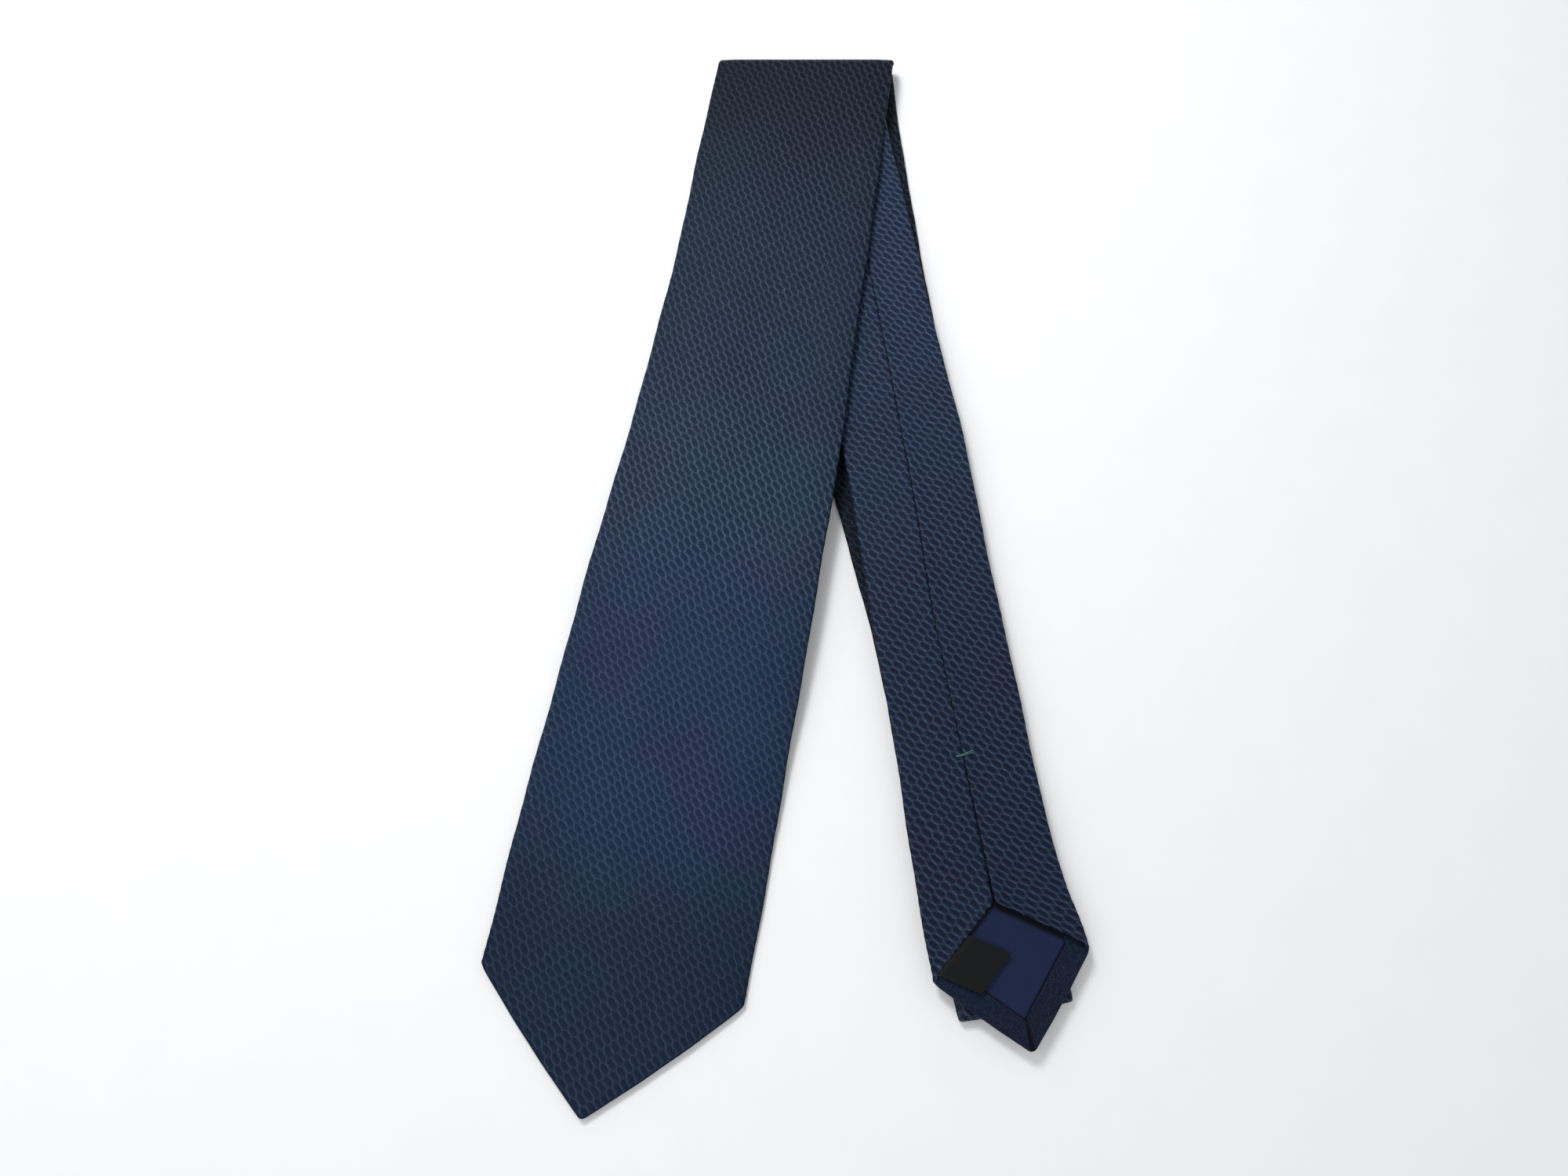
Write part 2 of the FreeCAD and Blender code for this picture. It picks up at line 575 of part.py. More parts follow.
def bias_thread(name, half, distance, way, level_heights):
    """A line of thread across a layer at 45 degrees, inside the gap between two silks."""
    width = "tie.thread_width / 2"
    corners = [(x, f"-({distance}) + {way} * ({x}) + {side} * {width}")
               for x, side in ((half, 1), (half, -1), (f"-({half})", -1), (f"-({half})", 1))]
    return prism(name, corners, *level_heights)


def build_joining_seams():
    """The two lines of thread on the bias where blade, neck and tail silk are joined."""
    middle = "tie.silk_thickness / 2"
    depths = (f"{middle} - tie.thread_width / 2", f"{middle} + tie.thread_width / 2")
    upper_heights = heights(UPPER_LEVEL, FACE_DOWN, depths)
    under_heights = heights(UNDER_LEVEL, FACE_UP, depths)
    upper = bias_thread("seam_upper", "tie.blade_seam_width / 2 - 1", "tie.blade_seam", 1, upper_heights)
    under = bias_thread("seam_under", "tie.neck_width / 2 - 1", "tie.tail_seam", -1, under_heights)
    node(fuse("joining_seams", place(upper, "tie.upper_turn"), under_place(under)), "joining_seams")


# ---- the two folds that open ----


def envelope_section(half, back, face, way):
    """Cross section of the silk envelope: a flat ring, open at the seam on its back side."""
    skin = f"{way} * tie.silk_thickness"
    inner = f"{half} - tie.edge_roll"
    slit = "tie.seam_gap / 2"
    right_side = [(slit, back), (half, back), (half, face)]
    left_side = [(f"-({x})", y) for x, y in reversed(right_side)]
    inside = [
        (f"-({slit})", f"{back} + {skin}"),
        (f"-({inner})", f"{back} + {skin}"),
        (f"-({inner})", f"{face} - {skin}"),
        (inner, f"{face} - {skin}"),
        (inner, f"{back} + {skin}"),
        (slit, f"{back} + {skin}"),
    ]
    return right_side + left_side + inside


def build_top_fold():
    """The roll of silk and interlining that joins the blade to its upper half; its face is outside."""
    inner = f"{TOP_ROLL} - tie.layer_thickness"
    half = "tie.fold_width / 2 * cos(tie.upper_turn)"
    corners = envelope_section(half, inner, TOP_ROLL, IN_FRONT)
    node(place(half_turn("top_fold_shell", corners), "0", "0", f"-{TOP_ROLL}", TOP_ROLL), "top_fold_shell")
    shallow, deep = PADDING
    padding = rectangle(f"{half} - {PADDING_INSET}", f"{TOP_ROLL} - ({deep})", f"{TOP_ROLL} - ({shallow})")
    inner_roll = half_turn("top_fold_interlining", padding)
    node(place(inner_roll, "0", "0", f"-{TOP_ROLL}", TOP_ROLL), "top_fold_interlining")


def tail_fold_place(body):
    """Puts a half turn at the tail fold, between the second and third layers."""
    x = f"tie.tail_fold_x + {SMALL_ROLL} * sin(tie.tail_turn)"
    y = f"tie.tail_fold_y - {SMALL_ROLL} * cos(tie.tail_turn)"
    return place(body, "tie.tail_turn", x, y, f"{LAYER_PITCH} + {SMALL_ROLL}")


def build_tail_fold():
    """The small roll inside the top fold that joins the tail to its upper half; its face is inside."""
    inner = "tie.layer_gap / 2"
    half = "tie.tail_fold_width / 2"
    corners = envelope_section(half, SMALL_ROLL, inner, BEHIND)
    node(tail_fold_place(half_turn("tail_fold_shell", corners)), "tail_fold_shell")
    shallow, deep = PADDING
    padding = rectangle(f"{half} - {PADDING_INSET}", f"{inner} + {shallow}", f"{inner} + {deep}")
    node(tail_fold_place(half_turn("tail_fold_interlining", padding)), "tail_fold_interlining")


def build():
    """Every sub-part, in the order they come off the bench."""
    fill_sheet()
    build_blade()
    build_blade_tack()
    build_keeper_loop()
    build_maker_label()
    build_tail()
    build_care_label()
    build_upper_silk()
    build_neck()
    build_under_silk()
    build_middle_interlining()
    build_middle_thread()
    build_joining_seams()
    build_top_fold()
    build_tail_fold()
    doc.recompute()


def check_and_write():
    """Stops on any failed object or bad shape, then writes one STEP file for each sub-part."""
    for item in doc.Objects:
        if {"Invalid", "Error"} & set(item.State):
            raise RuntimeError(f"{item.Name} is {item.State}")
    for piece in NODES:
        shape = piece.Shape
        if shape.isNull() or not shape.isValid() or not shape.Solids:
            raise RuntimeError(f"{piece.Label} has no valid solid")
    os.makedirs("parts", exist_ok=True)
    for piece in NODES:
        piece.Shape.exportStep(f"parts/{piece.Label}.step")
        size = piece.Shape.BoundBox
        print(f"{piece.Label}: {len(piece.Shape.Solids)} solid(s), {piece.Shape.Volume:.1f} mm3, "
              f"z {size.ZMin:.2f} to {size.ZMax:.2f}, y {size.YMin:.1f} to {size.YMax:.1f}")


build()
check_and_write()
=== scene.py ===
import json
import math

import bmesh
import bpy
import numpy as np
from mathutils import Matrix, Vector
from numpy import clip, cos, hstack, linspace, maximum, minimum, pi, sin, where


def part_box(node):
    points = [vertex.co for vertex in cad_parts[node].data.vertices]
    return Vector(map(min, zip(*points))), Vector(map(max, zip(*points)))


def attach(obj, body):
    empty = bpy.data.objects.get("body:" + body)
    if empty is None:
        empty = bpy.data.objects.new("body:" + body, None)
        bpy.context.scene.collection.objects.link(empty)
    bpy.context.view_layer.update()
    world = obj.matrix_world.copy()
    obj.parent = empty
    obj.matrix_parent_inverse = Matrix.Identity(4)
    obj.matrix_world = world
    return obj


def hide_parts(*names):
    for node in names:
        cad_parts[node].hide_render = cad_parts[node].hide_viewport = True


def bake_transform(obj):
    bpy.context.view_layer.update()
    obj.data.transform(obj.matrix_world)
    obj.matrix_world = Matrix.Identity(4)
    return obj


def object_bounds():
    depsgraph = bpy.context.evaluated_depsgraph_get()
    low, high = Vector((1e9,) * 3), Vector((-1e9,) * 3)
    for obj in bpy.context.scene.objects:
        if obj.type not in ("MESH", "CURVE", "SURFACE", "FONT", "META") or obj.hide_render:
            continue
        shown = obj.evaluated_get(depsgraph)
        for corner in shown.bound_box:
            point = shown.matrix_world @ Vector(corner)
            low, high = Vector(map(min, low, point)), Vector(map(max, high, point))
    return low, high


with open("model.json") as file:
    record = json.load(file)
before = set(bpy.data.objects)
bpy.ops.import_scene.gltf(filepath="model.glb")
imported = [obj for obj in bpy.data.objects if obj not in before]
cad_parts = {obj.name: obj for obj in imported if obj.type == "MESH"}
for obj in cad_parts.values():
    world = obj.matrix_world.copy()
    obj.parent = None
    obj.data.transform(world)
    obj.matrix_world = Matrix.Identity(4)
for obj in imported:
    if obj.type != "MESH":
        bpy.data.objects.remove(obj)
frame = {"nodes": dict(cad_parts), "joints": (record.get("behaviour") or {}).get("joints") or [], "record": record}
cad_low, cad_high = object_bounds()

# A navy silk necktie, folded in four and lying flat. Shapes are worked out in millimetres and made
# into meshes in metres. Each silk runs along a path: one layer, round a fold, and along the next.
# q: distance along a path, 0 in the middle of its fold.  x: across it, to the right seen from above.
# n: depth below the face of the silk.  u: distance down a layer, from its fold.
# "weave" is a point's place on the uncut cloth, so the pattern runs on round edges and folds. On silk
# its third value is the depth in a crevice, below 0 round the tie's edges, and HEM_MARK or more on a hem.
# On silk that depth also sets where the silk is painted darker: painted shade in crevices, the mitre and round the
# edges.

MM = 0.001
JOINTS = {joint["name"]: joint for joint in frame["joints"]}
MOUNTS = {mount["name"]: mount for mount in frame["record"]["mounts"]}


# ---- sizes read from the frame ----


def cad_points(node):
    """The corners of a CAD node, in millimetres."""
    return np.array([v.co for v in frame["nodes"][node].data.vertices], float) / MM


def cad_heights(node):
    """Lowest and highest z of a CAD node, in millimetres."""
    low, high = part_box(node)
    return low.z / MM, high.z / MM


def in_mm(position):
    """A place from the record, in millimetres."""
    return np.array(position, float) / MM


class Layer:
    """One flat layer of the folded tie: where its fold is and which way it runs."""

    def __init__(self, origin, turn):
        self.origin = np.array(origin[:2], float)
        self.turn = turn
        self.across = np.array([math.cos(turn), math.sin(turn)])
        self.down = np.array([math.sin(turn), -math.cos(turn)])

    def plan(self, x, u):
        """The place seen from above of points x across and u down the layer."""
        x, u = np.broadcast_arrays(x, u)
        return self.origin + x[..., None] * self.across + u[..., None] * self.down

    def local(self, place):
        """x and u of a place seen from above."""
        offset = np.asarray(place, float)[..., :2] - self.origin
        return offset @ self.across, offset @ self.down


def turn_towards(origin, place):
    """The turn of a layer that runs from origin to place."""
    return math.atan2(place[0] - origin[0], origin[1] - place[1])


def lowest(node):
    """The corner of a CAD node that is farthest down the tie."""
    corners = cad_points(node)
    return corners[corners[:, 1].argmin()]


THICK = cad_heights("tail_shell")[1] - cad_heights("tail_shell")[0]
STACK = cad_heights("top_fold_shell")[1]
TOP_ROLL = STACK / 2
NECK_ROLL = cad_heights("neck_shell")[1] / 2
TIP_AIR = cad_heights("blade_shell")[0]

FOLD = in_mm(MOUNTS["top_fold"]["pos_m"])
blade = Layer(FOLD, turn_towards(FOLD, lowest("blade_shell")))
neck_middle = in_mm(MOUNTS["neck_band"]["pos_m"])
upper = Layer(FOLD, turn_towards(FOLD, neck_middle))

tail_axis = JOINTS["tail_fold"]["axis"]
tail_turn = math.atan2(-tail_axis[1], -tail_axis[0])
fold_across, fold_down = Layer((0, 0), tail_turn).local(cad_points("tail_fold_shell"))
TAIL_ORIGIN = Layer((0, 0), tail_turn).plan((fold_across.min() + fold_across.max()) / 2, fold_down.min())
tail = Layer(TAIL_ORIGIN, tail_turn)
under = Layer(TAIL_ORIGIN, turn_towards(TAIL_ORIGIN, neck_middle))

BLADE_LENGTH = blade.local(lowest("blade_shell"))[1]
TAIL_LENGTH = tail.local(lowest("tail_shell"))[1]
UPPER_END = upper.local(neck_middle)[1]
UNDER_END = under.local(neck_middle)[1]


# ---- numbers and curves ----


def smooth(share):
    """0 below 0, 1 above 1, and an S between."""
    share = clip(share, 0, 1)
    return share * share * (3 - 2 * share)


def curve(*points):
    """A smooth function through (place, value) points that never overshoots them."""
    at, value = np.array(points, float).T
    rise = np.diff(value) / np.diff(at)
    slope = hstack([rise[0], np.zeros(len(at) - 2), rise[-1]])
    same = rise[:-1] * rise[1:] > 0
    slope[1:-1][same] = 2 * rise[:-1][same] * rise[1:][same] / (rise[:-1] + rise[1:])[same]

    def read(place):
        place = np.asarray(place, float)
        i = clip(np.searchsorted(at, place) - 1, 0, len(at) - 2)
        width = at[i + 1] - at[i]
        s = clip((place - at[i]) / width, 0, 1)
        start, end = value[i], value[i + 1]
        bend = width * (slope[i] * (1 - s) - slope[i + 1] * s) * s * (1 - s)
        return start + (end - start) * smooth(s) + bend
    return read


def soft_min(a, b, reach):
    """The smaller of two values, rounded where they cross."""
    mix = clip(0.5 + 0.5 * (b - a) / reach, 0, 1)
    return b + (a - b) * mix - reach * mix * (1 - mix)


def steps(*stops):
    """A column of places from stop to stop, each (place, spacing up to the next)."""
    parts = []
    for (start, spacing), (end, _) in zip(stops, stops[1:]):
        count = max(1, round((end - start) / spacing))
        parts.append(linspace(start, end, count, endpoint=False))
    return hstack([*parts, stops[-1][0]])[:, None]


def ripple(q, x):
    """The slight unevenness of pressed silk, in millimetres."""
    long_wave = 0.13 * sin(q / 21 + x / 34) + 0.09 * sin(q / 11.3 - x / 19 + 1.7)
    return long_wave + 0.05 * sin(q / 5.1 + x / 7.7 + 0.6)


# ---- outlines: half widths down each layer, left and right ----

BLADE_LEFT = curve((0, 33.2), (24, 32.9), (80, 32.4), (135, 33.1), (188, 35.6), (253, 38.9), (331, 41.7),
                   (352, 42.2))
BLADE_RIGHT = curve((-8, 33.2), (30, 35.2), (57, 36.6), (145, 40.3), (180, 41.6), (251, 42.5), (290, 43.4),
                    (352, 43.5))
UPPER_HALF = curve((0, 33.9), (23, 31.4), (58, 29.0), (95, 26.7), (140, 25.6), (190, 22.4), (242, 19.9),
                   (350, 18.2))
TAIL_LEFT = curve((0, 18.4), (90, 20.5), (172, 22.6), (245, 23.9), (297, 25.7), (321, 26.8), (340, 26.9))
TAIL_RIGHT = curve((0, 18.4), (97, 19.3), (160, 20.8), (230, 20.0), (285, 20.0), (311, 21.2), (330, 24.8),
                   (340, 26.2))
UNDER_HALF = curve((0, 18.4), (100, 18.2), (346, 18.2))
MIDDLE = curve((0, 0), (350, 0))
UNDER_SEAM = curve((0, 0.3), (350, 0.3))
TAIL_SEAM = curve((0, 0.3), (86, 0.25), (176, -0.95), (221, -2.6), (313, -2.6))
NOSE = 1.7
CORNER_ROUND = 2.6


def past_fold(q, after, before):
    """A function of u: one curve where q is past the fold, another before it."""
    return lambda u: where(q > 0, after(u), before(u))


class Tip:
    """The pointed end of a layer: side corners, point, and the lined opening at its back."""

    def __init__(self, length, sides, corners, apex, v_slopes, hem, bulge, lift):
        """Pairs are (left, right). Corners and apex are given by how far they are above the point."""
        self.length = length
        self.sides = dict(zip((-1, 1), sides))
        self.corners = {side: length - height for side, height in zip((-1, 1), corners)}
        self.apex_x, self.apex = apex[0], length - apex[1]
        self.v_slope = dict(zip((-1, 1), np.radians(v_slopes)))
        self.hem, self.bulge, self.lift = hem, bulge, lift

    def half(self, side, u):
        """Half width at u: rounded corners, edges that bow out a little, and a rounded point."""
        corner = self.corners[side]
        wide = self.sides[side](corner)
        sine = math.sin(math.atan(wide / (self.length - corner)))
        sharp_end = self.length + NOSE / sine - NOSE
        share = clip((u - corner) / (sharp_end - corner), 0, 1)
        bow = self.bulge * 4 * share * (1 - share) + 0.25 * sin(share * 21) * share * (1 - share)
        straight = wide * (1 - share) + bow
        from_centre = u - (self.length - NOSE)
        arc = np.sqrt(maximum(NOSE ** 2 - from_centre ** 2, 0))
        point = where(from_centre > NOSE * sine, minimum(arc, straight), straight)
        return maximum(soft_min(self.sides[side](u), where(u > self.length, 0, point), CORNER_ROUND), 0)

    def v_edge(self, side, u):
        """How far from the middle the back panel's edge has drawn away, at u."""
        below = maximum(u - self.apex, 0)
        return self.apex_x * side + below / math.tan(self.v_slope[side])


BLADE_TIP = Tip(BLADE_LENGTH, (BLADE_LEFT, BLADE_RIGHT), (38.8, 41.3), (0.0, 71.3), (37.5, 36), 6.6, 1.2, 0.0)
TAIL_TIP = Tip(TAIL_LENGTH, (TAIL_LEFT, TAIL_RIGHT), (25.2, 27.0), (-2.6, 45.3), (40.5, 33.5), 6.3, 0.5, 1.4)


# ---- paths: layer, fold, layer ----


SAG = 3.6
SPRING = 1.4
SQUARE_AFTER = 70
SETTLED_AFTER = 12
FLOOR_GAP = 0.02


def blade_fall(x, u):
    """How far the blade has come down from the top of the stack towards the table."""
    down = smooth((u - 195) / 115)
    side = smooth((-x - 4) / 42) * smooth((u - 20) / 95)
    sprung = smooth((x - 20) / 20) * smooth((u - 16) / 30)
    to_table = STACK - THICK - TIP_AIR
    return to_table * down + (SAG * side - SPRING * sprung) * (1 - down)


class Path:
    """Silk that lies along a lower layer, turns round a fold and lies along an upper layer."""

    def __init__(self, low, high, roll, centre, out, face_out, sign, wide=False):
        """low and high are (layer, distance at which it leaves the fold, 1 to run down it or -1 up)."""
        self.low, self.low_start, self.low_way = low
        self.high, self.high_start, self.high_way = high
        self.roll, self.centre, self.out, self.face_out = roll, centre, np.array(out), face_out
        self.sign, self.wide = sign, wide
        self.half_arc = pi / 2 * roll

    def away(self, q):
        """How far past the fold q is, on either side."""
        return maximum(np.abs(q) - self.half_arc, 0)

    def u(self, q):
        """Distance down the layer that q is on."""
        away = self.away(q)
        return where(q < 0, self.low_start + self.low_way * away, self.high_start + self.high_way * away)

    def q(self, u, upper_side=True):
        """The path's q at a distance down one of its layers."""
        if upper_side:
            return self.half_arc + (u - self.high_start) / self.high_way
        return -self.half_arc - (u - self.low_start) / self.low_way

    def slant(self, layer, x, away):
        """The wide silk's rows lie along the top fold near it, and turn square to the layer farther down."""
        return x * math.tan(layer.turn) * (1 - smooth(away / SQUARE_AFTER)) if self.wide else 0 * x

    def at(self, q, x, n):
        """Places in space of points given along, across and into the silk."""
        q, x, n = np.broadcast_arrays(np.asarray(q, float), x, n)
        away = self.away(q)
        low_away, high_away = away * (q < 0), away * (q > 0)
        low_u = self.low_start + self.low_way * low_away + self.slant(self.low, x, low_away)
        high_u = self.high_start + self.high_way * high_away + self.slant(self.high, x, high_away)
        angle = clip(q / self.half_arc, -1, 1) * pi / 2
        share = (angle / pi + 0.5)[..., None]
        radius = self.roll - n if self.face_out else self.roll - THICK + n
        plan = self.low.plan(x, low_u) * (1 - share) + self.high.plan(x, high_u) * share
        plan = plan + (radius * cos(angle))[..., None] * self.out
        z = self.centre + radius * sin(angle)
        waves = smooth(away / SETTLED_AFTER) * ripple(q, x)
        if self.wide:
            z = z + where(q > 0, waves - blade_fall(x, high_u), 0)
        else:
            z = z + 0.6 * waves
        return np.concatenate([plan, maximum(z, FLOOR_GAP)[..., None]], axis=-1)


WIDE = Path((upper, TOP_ROLL / math.cos(upper.turn), 1), (blade, TOP_ROLL / math.cos(blade.turn), 1),
            TOP_ROLL, TOP_ROLL, (0, 1), True, 1, wide=True)
NARROW = Path((under, NECK_ROLL, 1), (tail, NECK_ROLL, 1), NECK_ROLL, TOP_ROLL, -tail.down, False, -1)
NECK = Path((upper, UPPER_END, -1), (under, UNDER_END, -1), NECK_ROLL, NECK_ROLL, upper.down, True, -1)


CAD_SEAM_GAP = 0.15
BLADE_SEAM = upper.local(cad_points("blade_shell_upper"))[1].max() + CAD_SEAM_GAP - UPPER_HALF(285)
TAIL_SEAM_AT = under.local(cad_points("tail_shell_upper"))[1].max() + CAD_SEAM_GAP - 18.5
BLADE_TACK = blade.local(cad_points("blade_bar_tack"))[1].mean()
TAIL_TACK = tail.local(cad_points("tail_bar_tack"))[1].mean()


# ---- meshes ----

SHARP = math.radians(50)
BEND_MARGIN = 3


def join(*parts):
    """Several (points, faces, weave) meshes as one."""
    points, faces, weave = zip(*parts)
    starts = np.cumsum([0, *map(len, points)]).tolist()
    moved = [tuple(i + start for i in face) for start, part in zip(starts, faces) for face in part]
    return np.concatenate(points), moved, np.concatenate(weave)


def grid(points, weave, skip=None):
    """Quads over a grid of points; skip marks the cells to leave out."""
    number = np.arange(points[..., 0].size).reshape(points.shape[:2])
    quads = np.dstack([number[:-1, :-1], number[:-1, 1:], number[1:, 1:], number[1:, :-1]])
    faces = quads.reshape(-1, 4) if skip is None else quads[~skip]
    used, renamed = np.unique(faces, return_inverse=True)
    faces = renamed.reshape(faces.shape)
    return points.reshape(-1, 3)[used], [tuple(face) for face in faces.tolist()], weave.reshape(-1, 3)[used]


def close(part, inner):
    """A sheet and its copy at the inner points, with a rim between them."""
    points, faces, weave = part
    count = len(points)
    sides = {side for face in faces for side in zip(face, face[1:] + face[:1])}
    rim = [(b, a, a + count, b + count) for a, b in sides if (b, a) not in sides]
    rim.sort()
    back = [tuple(i + count for i in reversed(face)) for face in faces]
    return np.concatenate([points, inner]), faces + back + rim, np.concatenate([weave, weave])


def thicken(part, depth, inward):
    """A sheet given thickness; inward is a rough direction into the cloth at its middle point."""
    points, faces, weave = part
    mesh = bpy.data.meshes.new("sheet")
    mesh.from_pydata(points.tolist(), [], faces)
    normals = np.array([v.vector for v in mesh.vertex_normals])
    bpy.data.meshes.remove(mesh)
    index, direction = inward
    way = math.copysign(1, float(normals[index] @ direction))
    return close(part, points + way * depth * normals)


def wrap(count, sides):
    """The faces of a closed tube: quads between its rings, and a cap on each end."""
    number = np.arange(count * sides).reshape(count, sides)
    after = np.roll(number, -1, axis=1)
    quads = np.dstack([number[:-1], after[:-1], after[1:], number[1:]]).reshape(-1, 4)
    return [tuple(face.tolist()) for face in [*quads, number[0, ::-1], number[-1]]]


def tube(points, radius, sides=6):
    """A round closed thread through points."""
    along = np.gradient(points, axis=0)
    along /= np.linalg.norm(along, axis=1)[:, None]
    first = np.cross(along, (0.03, 0.04, 1.0))
    first /= np.linalg.norm(first, axis=1)[:, None]
    second = np.cross(along, first)
    turn = linspace(0, 2 * pi, sides, endpoint=False)
    ring = cos(turn)[:, None] * first[:, None] + sin(turn)[:, None] * second[:, None]
    thick = np.full(len(points), radius)
    thick[[0, -1]] *= 0.55
    body = points[:, None] + ring * thick[:, None, None]
    weave = np.zeros(body.shape)
    weave[..., 0] = turn / (2 * pi)
    weave[1:, :, 1] = np.cumsum(np.linalg.norm(np.diff(points, axis=0), axis=1))[:, None]
    return body.reshape(-1, 3), wrap(len(points), sides), weave.reshape(-1, 3)


def slab(path, q, x, top, bottom, weave):
    """A sheet of cloth between two depths under the face of a path."""
    sheet = grid(path.at(q, x, top), np.dstack(weave))
    return close(sheet, path.at(q, x, bottom).reshape(-1, 3))


def add(name, data):
    """A new object in the scene."""
    made = bpy.data.objects.new(name, data)
    bpy.context.scene.collection.objects.link(made)
    return made


def piece(name, part, material, body=None, replaced=None):
    """A Blender object from a mesh in millimetres, in place of CAD nodes, riding on a body if given."""
    points, faces, weave = part
    mesh = bpy.data.meshes.new(name)
    mesh.from_pydata((points * MM).tolist(), [], faces)
    values = weave.astype(np.float32).ravel()
    mesh.attributes.new("weave", "FLOAT_VECTOR", "POINT").data.foreach_set("vector", values)
    shell = bmesh.new()
    shell.from_mesh(mesh)
    bmesh.ops.recalc_face_normals(shell, faces=shell.faces)
    shell.to_mesh(mesh)
    shell.free()
    mesh.shade_smooth()
    mesh.set_sharp_from_angle(angle=SHARP)
    mesh.materials.append(material)
    made = add(name, mesh)
    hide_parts(*(replaced or [name]))
    if body:
        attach(made, body)
    return made


def bend_on_path(made, path, q):
    """The piece's placement is baked into its mesh; a share along the bend is worked out from q but not used."""
    reach = path.half_arc + BEND_MARGIN
    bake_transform(made)
    share = smooth((q + reach) / (2 * reach))


# ---- the silk envelope ----

SILK = 0.3
EDGE = 1.1
TIP_EDGE = 0.5
FACE_DROP = 0.22
LIP = 0.48
ALLOWANCE = 5.0
SEAM_LIFT = 0.3
SEAM_GAP = 0.03
SEAM_SLIT = 0.01
ROLL_COLUMNS = 8
BACK_COLUMNS = 18
FACE_COLUMNS = 45
TURN_COLUMNS = 5
TUCK_COLUMNS = 4
SIDE_COLUMNS = TUCK_COLUMNS + TURN_COLUMNS + BACK_COLUMNS + ROLL_COLUMNS


def panel_row(side, outer, inner, level, back, lip):
    """A back panel from its turned-in end, round its folded edge and out to the tie's edge."""
    room = maximum(side * (outer - inner) - EDGE - lip, 0.02)
    slope = minimum(5, 0.9 * room + 0.1)

    def height(distance):
        return back + (level - back) * (1 - smooth(distance / slope))

    turn = linspace(-pi / 2, pi / 2, TURN_COLUMNS)
    tuck = minimum(ALLOWANCE, 0.8 * room) * linspace(1, 0.2, TUCK_COLUMNS)
    flat = room * linspace(0, 1, BACK_COLUMNS + 1)[1:]
    x = inner + side * (lip + hstack([tuck, -lip * cos(turn), flat]))
    below = lip * (1 - sin(turn))
    n = hstack([height(tuck) - 2 * lip, level - below, height(flat)])
    return x, n, hstack([2 * lip + 0 * tuck, below, 0 * flat])


def edge_row(side, outer, back):
    """Half an ellipse round the tie's edge, from its back to its face."""
    turn = linspace(pi / 2, -pi / 2, ROLL_COLUMNS + 2)[1:-1]
    x = outer - side * EDGE + side * EDGE * cos(turn)
    n = back / 2 * (1 + sin(turn)) + FACE_DROP * (1 - sin(turn)) / 2
    return x, n, -cos(turn) + 0 * x


def section(left, right, v_left, v_right, back, lift, lip, inset):
    """x, n and depth in the crevice in each row, from one panel's turned-in end to the other's."""
    share = linspace(0, 1, FACE_COLUMNS)
    share = 0.3 * smooth(share) + 0.7 * share
    face_x = left + inset + maximum(right - left - 2 * inset, 0.02) * share
    from_edge = minimum(face_x - left, right - face_x)
    face = face_x, FACE_DROP * (1 - smooth(from_edge / 7)), 0 * face_x
    sides = []
    for side, outer, inner, raised in ((-1, left, v_left, lift / 4), (1, right, v_right, lift)):
        panel = panel_row(side, outer, inner, back + raised, back, lip)
        sides.append([hstack(pair)[:, ::-side] for pair in zip(panel, edge_row(side, outer, back))])
    return [hstack(parts) for parts in zip(sides[0], face, sides[1])]


def cloth_place(xs, ns, sunk, q_grid, path):
    """Each point's place on the uncut cloth: how far round the envelope, and how far along."""
    run = np.hypot(np.diff(xs, axis=1), np.diff(ns, axis=1))
    around = hstack([np.zeros((len(xs), 1)), np.cumsum(run, axis=1)])
    middle = [xs.shape[1] // 2]
    around += xs[:, middle] - around[:, middle]
    return np.dstack([path.sign * around, q_grid, sunk])


def edge_wander(q, phase):
    """Edges are never quite straight, and each thread that rolls over them makes a small step."""
    return 0.16 * sin(q / 13 + phase) + 0.10 * sin(q / 5.3 + 2 * phase) + 0.05 * sin(q * 1.816)


